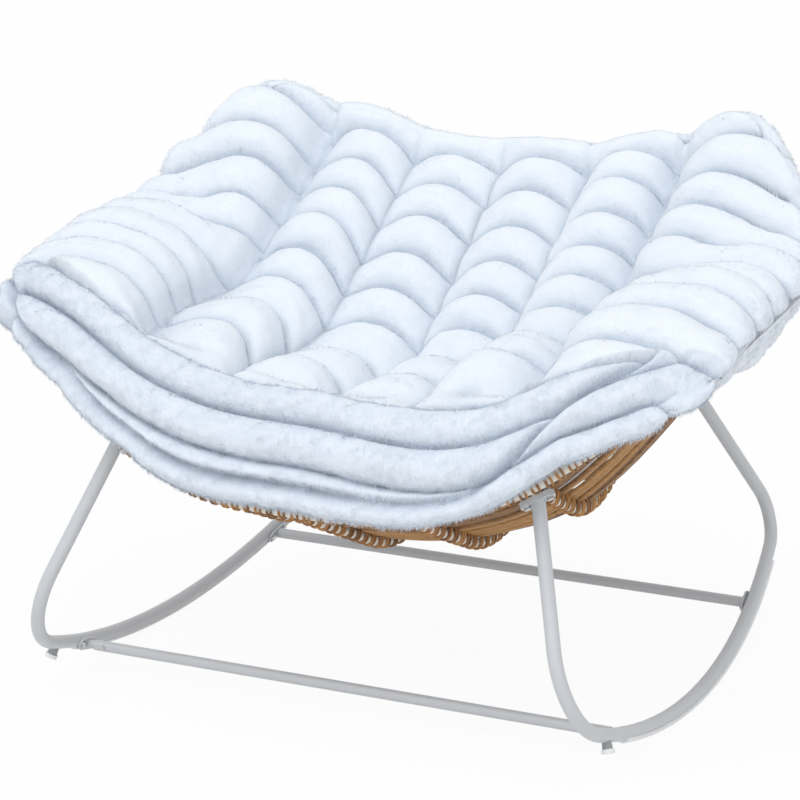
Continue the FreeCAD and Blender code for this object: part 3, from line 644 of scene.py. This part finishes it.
# %% Outlines of the pad
HALF_WIDTH = 0.556
EDGE_START = 0.478
EDGE_POWER = 2.2
FRONT_Y = -0.4577
FRONT_SWEEP = 0.153
BACK_Y = 0.3443
BACK_SPAN = 0.560
CORNER_Y = -0.0747
CORNER_Z = 0.468
TOP_BEND = 0.120
SIDE_RISE = 0.172
SIDE_RISE_WIDTH = 0.480
FRONT_SLOPE = 0.09
BACK_SLOPE = 0.763
BACK_SLOPE_FADE = 0.663
OUTER_SEAM = 0.285
WING_START = 0.250
WING_SHIFT = 0.175
WING_WIDTH = 0.250
LEFT_LOBE_SLOPE = 0.38
RIGHT_LOBE_SLOPE = 0.43
LOBE_START = 0.29
LEFT_LOBE_FALL = 0.30
RIGHT_LOBE_FALL = 0.15
LOBE_END = 0.43
LOBE_WIDTH = 0.18
FRONT_BORDER = 0.092
BACK_BORDER = 0.060
FRONT_TUCK = 0.034
BACK_TUCK = 0.004
LEAST_THICKNESS = 0.045
THICKNESS_BLEND = 0.030
RIGHT_NOSE_DROP = 0.080
LEFT_NOSE_DROP = 0.045
NOSE_SPREAD = 0.30
NOSE_LENGTH = 0.20
NOSE_OUT, NOSE_UP, NOSE_FOLLOW = -0.062, 0.026, 0.75
DROOP = ((-0.556, 0.0), (-0.42, 0.006), (-0.25, -0.003), (-0.10, 0.003), (0.0, 0.004),
         (0.25, 0.012), (0.42, 0.014), (0.50, 0.010), (0.556, 0.004))
DROOP_LEAD = 4.5
FRONT_OUT = 0.028
BACK_LEAD = np.array((0.042, 0.042))
BACK_FOLLOW = np.array((0.045, 0.010))
FRONT_SWEEP_POWER = 3
BACK_POWER = 5
FULL_DEPTH = 0.56
FRONT_RAY_INSET, BACK_RAY_INSET, PAD_RAY_FOOT = 0.030, 0.020, -0.5
MIDDLE_SHARE = 0.55
TOP_SAMPLES = 120
BORDER_SAMPLES = 60
EDGE_TURN = math.radians(89.3)
TOP_STEPS = 224
FRONT_STEPS = 72
BACK_STEPS = 34
BOTTOM_STEPS = 40
INNER_SECTIONS = 170
EDGE_SECTIONS = 48
ROUNDING_PASSES = 6


def ease(t):
    """From zero to one, level at both ends."""
    t = np.clip(t, 0.0, 1.0)
    return t * t * (3.0 - 2.0 * t)


def table(pairs, at):
    """The value at a place, read between the pairs of a table."""
    columns = np.array(pairs)
    return np.interp(at, columns[:, 0], columns[:, 1])


def bent(u, front_slope, back_slope, radius):
    """Two slopes that meet at u = 0 in a round bend, falling to the middle from both sides."""
    lead = math.atan(front_slope)
    climb = math.atan(back_slope)
    reach = radius * math.tan((lead + climb) / 2.0)
    start = -reach * math.cos(lead)
    stop = reach * math.cos(climb)
    height = np.where(u < 0.0, -front_slope * u, back_slope * u)
    centre_u = start + radius * math.sin(lead)
    centre_z = -front_slope * start + radius * math.cos(lead)
    inside = np.clip(radius ** 2 - (u - centre_u) ** 2, 0.0, None)
    return np.where((u > start) & (u < stop), centre_z - np.sqrt(inside), height)


def pad_top(x, y):
    """The top's height: level along the wings, then rising to a lobe at each end of the back."""
    lobe, fall = (RIGHT_LOBE_SLOPE, RIGHT_LOBE_FALL) if x > 0.0 else (LEFT_LOBE_SLOPE, LEFT_LOBE_FALL)
    x = abs(x)
    corner = CORNER_Z + SIDE_RISE * ease(x / SIDE_RISE_WIDTH)
    shift = WING_SHIFT * ease((x - WING_START) / WING_WIDTH)
    lead = FRONT_SLOPE * (1.0 - (x / HALF_WIDTH) ** 2)
    climb = BACK_SLOPE - BACK_SLOPE_FADE * min(x, OUTER_SEAM) + lobe * ease((x - LOBE_START) / LOBE_WIDTH)
    climb -= fall * ease((x - LOBE_END) / (HALF_WIDTH - LOBE_END))
    return corner + bent(y - CORNER_Y - shift, lead, climb, TOP_BEND)


def pad_ends(x):
    """The pad's front and rear at x, and how far its borders narrow there."""
    front = FRONT_Y + FRONT_SWEEP * (abs(x) / HALF_WIDTH) ** FRONT_SWEEP_POWER
    rear = BACK_Y * math.sqrt(1.0 - min(abs(x) / BACK_SPAN, 1.0) ** BACK_POWER)
    return front, rear, min(1.0, (rear - front) / FULL_DEPTH)


pad_tree = node_tree_of("seat_cushion")


def pad_bottom(x, ys):
    """The CAD cushion's underside, met by rays from below and carried on past its ends."""
    held = min(abs(x), EDGE_START)
    front, rear, narrow = pad_ends(held)
    heights = []
    for y in np.clip(ys, front + FRONT_RAY_INSET * narrow, rear - BACK_RAY_INSET * narrow):
        hit = pad_tree.ray_cast(Vector((held, y, PAD_RAY_FOOT)), UPWARD)[0]
        heights.append(hit.z if hit is not None else np.nan)
    heights = np.array(heights)
    good = ~np.isnan(heights)
    return np.interp(ys, ys[good], heights[good])


def even_line(points, count):
    """The line through the points, at even lengths along it."""
    run = np.concatenate([[0.0], np.cumsum(np.linalg.norm(np.diff(points, axis=0), axis=1))])
    at = np.linspace(0.0, run[-1], count + 1)
    return np.stack([np.interp(at, run, points[:, 0]), np.interp(at, run, points[:, 1])], axis=1)


def border(start, lead, follow, end, count):
    """A round border from start to end, drawn towards two guide points."""
    t = np.linspace(0.0, 1.0, BORDER_SAMPLES)[:, None]
    curve = ((1 - t) ** 3 * start + 3 * (1 - t) ** 2 * t * lead
             + 3 * (1 - t) * t ** 2 * follow + t ** 3 * end)
    return even_line(curve, count)


def outline(x):
    """Points (y, z) once round the pad at x: top, back border, bottom and front border."""
    front, rear, narrow = pad_ends(x)
    over = max(abs(x) - EDGE_START, 0.0) / (HALF_WIDTH - EDGE_START)
    full = max(1.0 - over ** EDGE_POWER, 0.0) ** (1.0 / EDGE_POWER)
    first = front + FRONT_BORDER * narrow
    last = rear - BACK_BORDER * narrow
    ys = np.linspace(first, last, TOP_SAMPLES)
    low_ys = np.linspace(rear - BACK_TUCK * narrow, front + FRONT_TUCK * narrow, BOTTOM_STEPS + 1)
    low = pad_bottom(x, low_ys[::-1])[::-1]
    under = np.interp(ys, low_ys[::-1], low[::-1])
    wing = ease(abs(x) / NOSE_SPREAD)
    drop = RIGHT_NOSE_DROP if x > 0.0 else LEFT_NOSE_DROP
    nose = drop * wing * np.clip(1.0 - (ys - first) / NOSE_LENGTH, 0.0, 1.0) ** 2
    free, least = pad_top(x, ys) - nose, under + LEAST_THICKNESS
    high = 0.5 * (free + least + np.sqrt((free - least) ** 2 + THICKNESS_BLEND ** 2))
    middle = under + MIDDLE_SHARE * (high - under)
    top = even_line(np.stack([ys, middle + (high - middle) * full], axis=1), TOP_STEPS)
    low_middle = np.interp(low_ys, ys, middle)
    bottom = np.stack([low_ys, low_middle - (low_middle - low) * full], axis=1)
    sag = table(DROOP, x)
    size = full * narrow
    back_line = border(top[-1], top[-1] + size * BACK_LEAD, bottom[0] + size * BACK_FOLLOW, bottom[0],
                       BACK_STEPS)
    front_lead = np.array((front - FRONT_OUT * size, bottom[-1, 1] - DROOP_LEAD * sag * size))
    front_follow = top[0] + size * np.array((NOSE_OUT, NOSE_UP - NOSE_FOLLOW * drop * wing))
    front_line = border(bottom[-1], front_lead, front_follow, top[0], FRONT_STEPS)
    return np.concatenate([top[:-1], back_line[:-1], bottom[:-1], front_line[:-1]]), full


inner_x = np.linspace(-EDGE_START, EDGE_START, INNER_SECTIONS + 1)
edge_turn = np.linspace(0.0, EDGE_TURN, EDGE_SECTIONS + 1)[1:]
edge_x = EDGE_START + (HALF_WIDTH - EDGE_START) * np.sin(edge_turn)
section_x = np.concatenate([-edge_x[::-1], inner_x, edge_x])
made_sections = [outline(float(x)) for x in section_x]
loops = np.array([points for points, _ in made_sections])
fullness = np.array([full for _, full in made_sections])
for _ in range(ROUNDING_PASSES):
    loops = 0.5 * loops + 0.25 * (np.roll(loops, 1, axis=1) + np.roll(loops, -1, axis=1))
pad = np.concatenate([np.broadcast_to(section_x[:, None, None], loops.shape[:2] + (1,)), loops], axis=2)
print("outlines", len(section_x), "points each", loops.shape[1])

# %% [markdown]
# ## Quilting
# The top is sewn into columns by seams from front to back, and each column into puffed ribs across it.
# A rib is highest in the middle of its column and is drawn down to a pinch where the seams cross.
# The wings have longer ribs that wrap over the sides. The border is a stack of rolls, and at the front
# right corner the front's rolls meet the side's in a mitre. No two ribs are stuffed alike.

# %% Relief of ribs, columns and rolls
COLUMN_LINES = np.array((-OUTER_SEAM, -0.14, 0.0, 0.14, OUTER_SEAM))
COLUMN_VALLEYS = ((0.040, 0.050), (0.016, 0.034), (0.018, 0.034), (0.016, 0.034), (0.040, 0.050))
COLUMN_SPACING = ((0.0, 0.0), (0.42, 2.8), (1.0, 8.7))
LEFT_WING_SPACING = ((-0.46, 0.0), (-0.10, 5.4), (0.02, 6.9), (0.36, 13.0))
RIGHT_WING_SPACING = ((-0.46, 0.0), (0.05, 7.6), (0.36, 13.5))
COLUMN_RIBS = 9
WING_RIBS = 14
SEAM_SINK = 0.021
RIB_HEIGHT = 0.041
WING_HEIGHT = 0.038
PINCH = 0.30
WING_PINCH = 0.45
BOW = 0.42
BACK_ROLL_START = 0.90
SEAM_JITTER = 0.10
SEAM_WIDTH = 0.055
FRONT_PITCH = 0.066
FRONT_ROLL_HEIGHT = 0.033
BACK_ROLLS = 2
BACK_ROLL_HEIGHT = 0.028
SIDE_WRAP = 0.16
ROLLS_END = 0.38
ROLLS_FADE = 0.10
BOTTOM_SINK = 0.004
RIGHT_MITRE = ((0.00, 0.76), (0.26, 0.74), (0.30, 0.68), (0.36, 0.45), (0.42, 0.22), (0.47, 0.0),
               (0.56, 0.0))
LEFT_MITRE = ((0.00, 0.76), (0.47, 0.76), (0.52, 0.55), (0.55, 0.2), (0.56, 0.1))
MITRE_WIDTH = 0.009
MITRE_DEPTH = 0.7
SIDE_FAMILY_START = 0.46
SIDE_FAMILY_BLEND = 0.07
FOLD_PLACE, FOLD_WIDTH = 0.42, 0.07
LEAST_STUFFING, STUFFING_SPREAD = 0.86, 0.28
COLUMN_CREASE, COLUMN_PLAIN = 0.08, 0.45
WING_CREASE, WING_PLAIN = 0.04, 0.6
ROLL_ARCH = (2.2, 0.55)
COLUMN_ARCH = (2.4, 0.6)
BOW_ARCH = (2.0, 1.0)
BACK_PINCH = 0.85
ROLL_VALLEY = 0.25
VALLEY_AT_BACK = 0.75
VALLEY_FADE, BOW_FADE = 0.07, 0.08
COLUMN_EDGE, WING_EDGE, WING_RISE = 0.04, 0.03, 0.12
TUCK_STEPS = 1.5
EDGE_RELIEF = 0.40


def arch(t, power=2.3, roundness=0.5):
    """Zero at both ends and one in the middle, steep at the ends as a stuffed tube is."""
    return np.clip(1.0 - np.abs(2.0 * t - 1.0) ** power, 0.0, 1.0) ** roundness


def warped(phase, shifts):
    """The phase with each seam moved by its own shift."""
    count = len(shifts) + 1
    seams = np.arange(count + 1) + np.concatenate([[0.0], shifts, [0.0]])
    return np.interp(phase, seams, np.arange(count + 1))


def seam_at(part):
    """One on the seams at both ends of a rib or roll, zero away from them."""
    return np.exp(-(np.minimum(part, 1.0 - part) / SEAM_WIDTH) ** 2)


def ribs_and_seams(phase, stuffing, crease):
    """Height of the ribs at a phase, with its rib's own stuffing and a crease in some, and its seams."""
    number = np.clip(phase.astype(int), 0, len(stuffing) - 1)
    part = np.clip(phase - number, 0.0, 1.0)
    fold = np.exp(-((part - FOLD_PLACE) / FOLD_WIDTH) ** 2)
    return arch(part) * (stuffing[number] - crease[number] * fold), seam_at(part)


def draw_shifts(count):
    return SEAM_JITTER * (2.0 * rng.random(count - 1) - 1.0)


def draw_stuffing(count):
    return LEAST_STUFFING + STUFFING_SPREAD * rng.random(count)


def draw_creases(count, depth, plain):
    """Depths of the ribs' creases: none on the plain share of them."""
    return depth * (rng.random(count) > plain) * rng.random(count)


line_shifts = [draw_shifts(COLUMN_RIBS) for _ in COLUMN_LINES]
column_stuffing = [draw_stuffing(COLUMN_RIBS) for _ in COLUMN_LINES]
column_crease = [draw_creases(COLUMN_RIBS, COLUMN_CREASE, COLUMN_PLAIN) for _ in COLUMN_LINES]
wing_shifts = {side: draw_shifts(WING_RIBS) for side in (-1, 1)}
wing_stuffing = {side: draw_stuffing(WING_RIBS) for side in (-1, 1)}
wing_crease = {side: draw_creases(WING_RIBS, WING_CREASE, WING_PLAIN) for side in (-1, 1)}


def valleys(x):
    return sum(depth * math.exp(-((x - line) / width) ** 2)
               for line, (depth, width) in zip(COLUMN_LINES, COLUMN_VALLEYS))


def wing_ribs(x, ys):
    """The wings' ribs lie across the chair, so that they pass over the side as they are."""
    side = 1 if x > 0 else -1
    phase = warped(table(RIGHT_WING_SPACING if x > 0 else LEFT_WING_SPACING, ys), wing_shifts[side])
    return ribs_and_seams(phase, wing_stuffing[side], wing_crease[side])


def column_ribs(x, share):
    """Ribs of the column at x, bowed back and drawn in at the column's seams."""
    column = int(np.searchsorted(COLUMN_LINES, x, side="right")) - 1
    across = (x - COLUMN_LINES[column]) / (COLUMN_LINES[column + 1] - COLUMN_LINES[column])
    phase = table(COLUMN_SPACING, share)
    phase = ((1.0 - across) * warped(phase, line_shifts[column])
             + across * warped(phase, line_shifts[column + 1]))
    inside = ease(share / BOW_FADE) * ease((1.0 - share) / BOW_FADE)
    phase = np.clip(phase - BOW * inside * arch(across, *BOW_ARCH), 0.0, COLUMN_RIBS)
    return ribs_and_seams(phase, column_stuffing[column], column_crease[column]) + (across,)


def top_relief(x, ys, share):
    """Relief and seams of the top at shares of the way from its front to its back."""
    at_back = ease((share - BACK_ROLL_START) / (1.0 - BACK_ROLL_START))
    valley = valleys(x) * ease(share / VALLEY_FADE) * (1.0 - VALLEY_AT_BACK * at_back)
    if abs(x) < OUTER_SEAM:
        height, seam_shade, across = column_ribs(x, share)
        pinch = PINCH + (BACK_PINCH - PINCH) * at_back
        swell = pinch + (1.0 - pinch) * arch(across, *COLUMN_ARCH)
        edge = math.exp(-(min(across, 1.0 - across) / COLUMN_EDGE) ** 2)
        return RIB_HEIGHT * swell * height - SEAM_SINK - valley, np.maximum(seam_shade, edge * (1.0 - at_back))
    inward = (abs(x) - OUTER_SEAM) / (HALF_WIDTH - OUTER_SEAM)
    height, seam_shade = wing_ribs(x, ys)
    swell = WING_PINCH + (1.0 - WING_PINCH) * ease(inward / WING_RISE)
    edge = math.exp(-(inward / WING_EDGE) ** 2)
    return WING_HEIGHT * swell * height - SEAM_SINK - valley, np.maximum(seam_shade, edge * (1.0 - at_back))


def back_relief(x, ys, share):
    """Rolls along the back, which give way to the wings' ribs round the lobes."""
    part = share * BACK_ROLLS - np.floor(share * BACK_ROLLS)
    rolls = BACK_ROLL_HEIGHT * arch(part, *ROLL_ARCH) - ROLL_VALLEY * valleys(x) * (1.0 - share)
    seam_shade = seam_at(part)
    turn = ease((abs(x) - ROLLS_END) / ROLLS_FADE)
    height, wing_seam = wing_ribs(x, ys)
    relief_here = (1.0 - turn) * rolls + turn * WING_HEIGHT * height - SEAM_SINK
    return relief_here, (1.0 - turn) * seam_shade + turn * wing_seam


def front_relief(x, ys, length, share):
    """Relief of the front border at shares of the way from its top edge to its bottom one."""
    meet = table(RIGHT_MITRE if x > 0 else LEFT_MITRE, abs(x))
    upper = share * length / FRONT_PITCH
    lower = (1.0 - share) * length / FRONT_PITCH
    phase = np.where(share < meet, upper, lower)
    part = phase - np.floor(phase)
    height = arch(part, *ROLL_ARCH)
    seam_shade = seam_at(part)
    turn = ease((abs(x) - SIDE_FAMILY_START) / SIDE_FAMILY_BLEND) * (share >= meet)
    side_height, side_seam = wing_ribs(x, ys)
    height = (1.0 - turn) * height + turn * side_height
    seam_shade = (1.0 - turn) * seam_shade + turn * side_seam
    notch = np.exp(-((share - meet) * length / MITRE_WIDTH) ** 2) * (MITRE_DEPTH if meet > 0.0 else 0.0)
    return FRONT_ROLL_HEIGHT * height * (1.0 - notch) - SEAM_SINK, np.maximum(seam_shade, notch)


def line_length(points):
    return np.linalg.norm(np.diff(points, axis=0), axis=1).sum()


starts = np.cumsum([0, TOP_STEPS, BACK_STEPS, BOTTOM_STEPS, FRONT_STEPS])
top_span, back_span, bottom_span, front_span = (slice(a, b) for a, b in zip(starts, starts[1:]))
relief = np.zeros(loops.shape[:2])
# How much shade is painted into the plush: along the seams, at the columns' edges and in the mitre's notch
seams = np.zeros(loops.shape[:2])
bottom_turn = np.arange(BOTTOM_STEPS)
near_border = np.exp(-np.minimum(bottom_turn, BOTTOM_STEPS - bottom_turn) / TUCK_STEPS)
top_share = np.arange(TOP_STEPS) / TOP_STEPS
back_share = np.arange(BACK_STEPS) / BACK_STEPS
front_share = 1.0 - np.arange(FRONT_STEPS) / FRONT_STEPS
for i, x in enumerate(section_x.tolist()):
    ys = loops[i, :, 0]
    relief[i, top_span], seams[i, top_span] = top_relief(x, ys[top_span], top_share)
    relief[i, back_span], seams[i, back_span] = back_relief(x, ys[back_span], back_share)
    wrap = 1.0 - ease((HALF_WIDTH - abs(x)) / SIDE_WRAP)
    height, seam_shade = wing_ribs(x, ys[bottom_span])
    plain = -BOTTOM_SINK - (SEAM_SINK - BOTTOM_SINK) * near_border
    relief[i, bottom_span] = wrap * (WING_HEIGHT * height - SEAM_SINK) + (1.0 - wrap) * plain
    seams[i, bottom_span] = wrap * seam_shade
    length = line_length(loops[i, front_span])
    relief[i, front_span], seams[i, front_span] = front_relief(x, ys[front_span], length, front_share)
relief *= (EDGE_RELIEF + (1.0 - EDGE_RELIEF) * fullness)[:, None]
print("relief from", round(relief.min(), 4), "to", round(relief.max(), 4))

# %% [markdown]
# ## Unevenness and the mesh of the pad
# Stuffing shifts and cloth gathers, so slow waves move whole ribs and short ones crease the rolls.
# The relief is laid along the surface's own normals. How deep each point lies in the seams is kept as an
# attribute, which paints shade into the plush's colour there, in the hollows and in the mitre's notch.

# %% Building the cushion
WAVES = 14
WAVE_HEIGHT = 0.0022
GATHER_HEIGHT = 0.0011
SOFTENING = 0.9
SOFTENING_PASSES = 14
# Painted shade laid evenly over the front border
FRONT_PAINTED_SHADE = 0.22
WAVE_RANGE = (14.0, 45.0)
GATHER_RANGE = (90.0, 240.0)
EDGE_UNEVEN = 0.3
# Share of painted shade for points sunk below the pad's form
SINK_PAINTED_SHADE = 0.5


def waves(points, count, low, high):
    """A sum of sines in random directions, from -1 to 1 or so."""
    total = np.zeros(points.shape[:-1])
    for _ in range(count):
        direction = rng.normal(size=3)
        direction *= rng.uniform(low, high) / np.linalg.norm(direction)
        total += np.sin(points @ direction + rng.uniform(0.0, 2.0 * math.pi))
    return total / math.sqrt(count)


def normals_of(points):
    along = np.gradient(points, axis=0)
    round_ = np.roll(points, -1, axis=1) - np.roll(points, 1, axis=1)
    normal = np.cross(along, round_)
    return normal / np.maximum(np.linalg.norm(normal, axis=2), 1e-9)[:, :, None]


def loop_faces(count_x, count_v):
    i = np.arange(count_x - 1)[:, None]
    j = np.arange(count_v)[None, :]
    next_j = (j + 1) % count_v
    this_row, next_row = i * count_v, (i + 1) * count_v
    quads = np.stack([this_row + j, next_row + j, next_row + next_j, this_row + next_j], axis=-1)
    faces = [tuple(int(k) for k in quad) for quad in quads.reshape(-1, 4)]
    faces.append(tuple(range(count_v)))
    faces.append(tuple((count_x - 1) * count_v + k for k in reversed(range(count_v))))
    return faces


normals = normals_of(pad)
middle_point = pad.mean(axis=(0, 1))
if (normals * (pad - middle_point)).sum() < 0.0:
    normals = -normals
uneven = WAVE_HEIGHT * waves(pad, WAVES, *WAVE_RANGE) + GATHER_HEIGHT * waves(pad, WAVES, *GATHER_RANGE)
uneven *= EDGE_UNEVEN + (1.0 - EDGE_UNEVEN) * fullness[:, None]
quilted = pad + normals * (relief + uneven)[:, :, None]
soft = SOFTENING * (1.0 - fullness[:, None, None])
for _ in range(SOFTENING_PASSES):
    before, after = quilted[[0, *range(len(quilted) - 1)]], quilted[[*range(1, len(quilted)), -1]]
    beside = 0.5 * (before + after)
    around = 0.5 * (np.roll(quilted, 1, axis=1) + np.roll(quilted, -1, axis=1))
    quilted = (1.0 - soft) * quilted + soft * 0.5 * (beside + around)
# Painted shade: the plush's colour darkens with depth below the form and along the seams
painted_seam_shade = np.maximum(np.clip(-relief / (2.0 * SEAM_SINK), 0.0, 1.0) * SINK_PAINTED_SHADE, seams)
# Painted shade over the whole front border
painted_seam_shade[:, front_span] = np.clip(painted_seam_shade[:, front_span] + FRONT_PAINTED_SHADE, 0.0, 1.0)
pad_faces = loop_faces(*quilted.shape[:2])
print("pad faces", len(pad_faces))

# %% [markdown]
# ## Plush
# The cover is a short pile of pale blue white. It is matt, with a soft bright rim where the fibres are
# seen from the side. Shade is painted into its colour: greyer down in the seams and hollows and over the
# front border.


# %% Plush material
def plush_material(name, colour, painted_shade_colour, bump):
    """Matt pile that turns from its colour to a painted shade colour as the seams' shade attribute rises.
    """
    material, tree, shader = new_material(
        name, {"Roughness": 0.95, "Specular IOR Level": 0.1, "Sheen Weight": 0.25, "Sheen Roughness": 0.6})
    seam_shade = add_node(tree, "ShaderNodeAttribute", attribute_name="seam_shade")
    shade = put(add_node(tree, "ShaderNodeMix", data_type="RGBA"), {"A": colour, "B": painted_shade_colour})
    tree.links.new(seam_shade.outputs["Fac"], shade.inputs["Factor"])
    uneven_finish(tree, shader, shade.outputs["Result"], {"Scale": 40.0, "Amount": 0.06},
                  {"Scale": 240.0, "Strength": bump, "Depth": 0.003})
    return material


# The second colour is painted shade for the seams, hollows and front border
plush = plush_material("plush", linear(233, 240, 248), linear(198, 209, 222), 0.35)
cushion = new_piece("plush_cushion", quilted.reshape(-1, 3), pad_faces, plush,
                    {"seam_shade": painted_seam_shade.reshape(-1)})
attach(cushion, "cushion")
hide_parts("seat_cushion")
print("cushion", len(cushion.data.vertices), "points")

# %% [markdown]
# ## The pile
# Faux fur shows at the outline and on the front rolls as short tufts that hang with the nap.
# Each tuft is a thin pointed blade. It takes the normal of the cloth under it and casts no shadow, so
# the pile shades as one soft surface.

# %% Pile
TUFTS = 190000
TUFT_LENGTH = 0.0095
TUFT_WIDTH = 0.0009
TUFT_TINT = 0.08
TUFT_VARIETY = 0.15
NAP = np.array((0.3, -0.7, -1.0))
TOP_PILE, FRONT_PILE, BACK_PILE, BOTTOM_PILE, EDGE_PILE = 0.5, 1.8, 1.0, 0.1, 1.2
LONG_PILE = 0.9
SHORT_SHARE = 0.55
CLUMP_WAVES = (5, 200.0, 500.0)
PATCH_WAVES = (6, 50.0, 140.0)
LEAST_TUFT, LENGTH_SPREAD, WIDTH_SPREAD = 0.6, 0.6, 0.7
# Share of the cloth's painted seam shade that the tufts carry
SEAM_SHADE_TINT = 0.5
CLUMP_LEAN, LOOSE_LEAN, RISE = 0.28, 0.15, 0.38
LEAST_LAY = 0.2

tuft_normals = normals_of(quilted)
if (tuft_normals * normals).sum() < 0.0:
    tuft_normals = -tuft_normals
row_area = np.linalg.norm(np.cross(np.gradient(quilted, axis=0), np.gradient(quilted, axis=1)), axis=2)
wanted = np.full(quilted.shape[:2], TOP_PILE)
wanted[:, front_span] = FRONT_PILE
wanted[:, back_span] = BACK_PILE
wanted[:, bottom_span] = BOTTOM_PILE
wanted += EDGE_PILE * (1.0 - fullness[:, None])
chance = (row_area * wanted).reshape(-1)
chosen = rng.choice(chance.size, TUFTS, p=chance / chance.sum())
row, column = np.divmod(chosen, quilted.shape[1])
row_after = np.minimum(row + 1, quilted.shape[0] - 1)
column_after = (column + 1) % quilted.shape[1]
s, t = rng.random((2, TUFTS, 1))
roots = ((1 - s) * (1 - t) * quilted[row, column] + s * (1 - t) * quilted[row_after, column]
         + (1 - s) * t * quilted[row, column_after] + s * t * quilted[row_after, column_after])
tuft_normal = tuft_normals[row, column]
lay = NAP - tuft_normal * (tuft_normal @ NAP)[:, None]
clump = np.stack([waves(roots, *CLUMP_WAVES) for _ in range(3)], axis=1)
lay /= np.maximum(np.linalg.norm(lay, axis=1), LEAST_LAY)[:, None]
lean = lay + CLUMP_LEAN * clump + LOOSE_LEAN * rng.normal(size=(TUFTS, 3)) + RISE * tuft_normal
lean /= np.linalg.norm(lean, axis=1)[:, None]
across = np.cross(lean, tuft_normal)
across /= np.maximum(np.linalg.norm(across, axis=1), 1e-9)[:, None]
share = np.where(wanted[row, column] > LONG_PILE, 1.0, SHORT_SHARE)
long = (TUFT_LENGTH * (LEAST_TUFT + LENGTH_SPREAD * rng.random(TUFTS)) * share)[:, None]
wide = TUFT_WIDTH * (LEAST_TUFT + WIDTH_SPREAD * rng.random((TUFTS, 1)))
half = 0.5 * wide * across
blades = np.stack([roots - half, roots + half, roots + long * lean], axis=1)
tuft_faces = np.arange(3 * TUFTS).reshape(-1, 3).tolist()
patches = waves(roots, *PATCH_WAVES)
# The tufts carry the painted seam shade of the cloth under them, plus random patches and variety of their
# own tone
tint = SEAM_SHADE_TINT * painted_seam_shade[row, column] + TUFT_TINT * patches + TUFT_VARIETY * rng.normal(size=TUFTS)
pile_shade_and_tone = np.repeat(np.clip(tint, 0.0, 1.0), 3)
pile = new_piece("plush_pile", blades.reshape(-1, 3), tuft_faces, plush, {"seam_shade": pile_shade_and_tone})
pile.visible_shadow = False
pile.data.normals_split_custom_set_from_vertices(np.repeat(tuft_normal, 3, axis=0).tolist())
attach(pile, "cushion")
print("tufts", TUFTS, "faces", len(tuft_faces))

# %% [markdown]
# ## The floor
# The chair stands on a plain pale floor that reads as the photograph's white and keeps a soft shadow.

# %% Floor
FLOOR_SIZE = 30.0
FLOOR_WHITE = 0.93
FLOOR_GREY = (0.93, 0.93, 0.93, 1.0)
floor_mesh = bpy.data.meshes.new("floor")
reach = FLOOR_SIZE / 2.0
corners = [(-reach, -reach, 0.0), (reach, -reach, 0.0), (reach, reach, 0.0), (-reach, reach, 0.0)]
floor_mesh.from_pydata(corners, [], [(0, 1, 2, 3)])
floor = bpy.data.objects.new("floor", floor_mesh)
bpy.context.scene.collection.objects.link(floor)
floor_paint, floor_tree, floor_shader = new_material(
    "floor_paint", {"Base Color": FLOOR_GREY, "Roughness": 0.9})
half_white = put(add_node(floor_tree, "ShaderNodeMixShader"), {0: FLOOR_WHITE})
floor_tree.links.new(floor_shader.outputs[0], half_white.inputs[1])
lit_floor = white_to_camera(floor_tree, floor_shader.outputs[0], "ShaderNodeEmission")
floor_tree.links.new(lit_floor, half_white.inputs[2])
floor_tree.links.new(half_white.outputs[0], floor_tree.nodes["Material Output"].inputs["Surface"])
floor_mesh.materials.append(floor_paint)
print("floor", FLOOR_SIZE, "m")
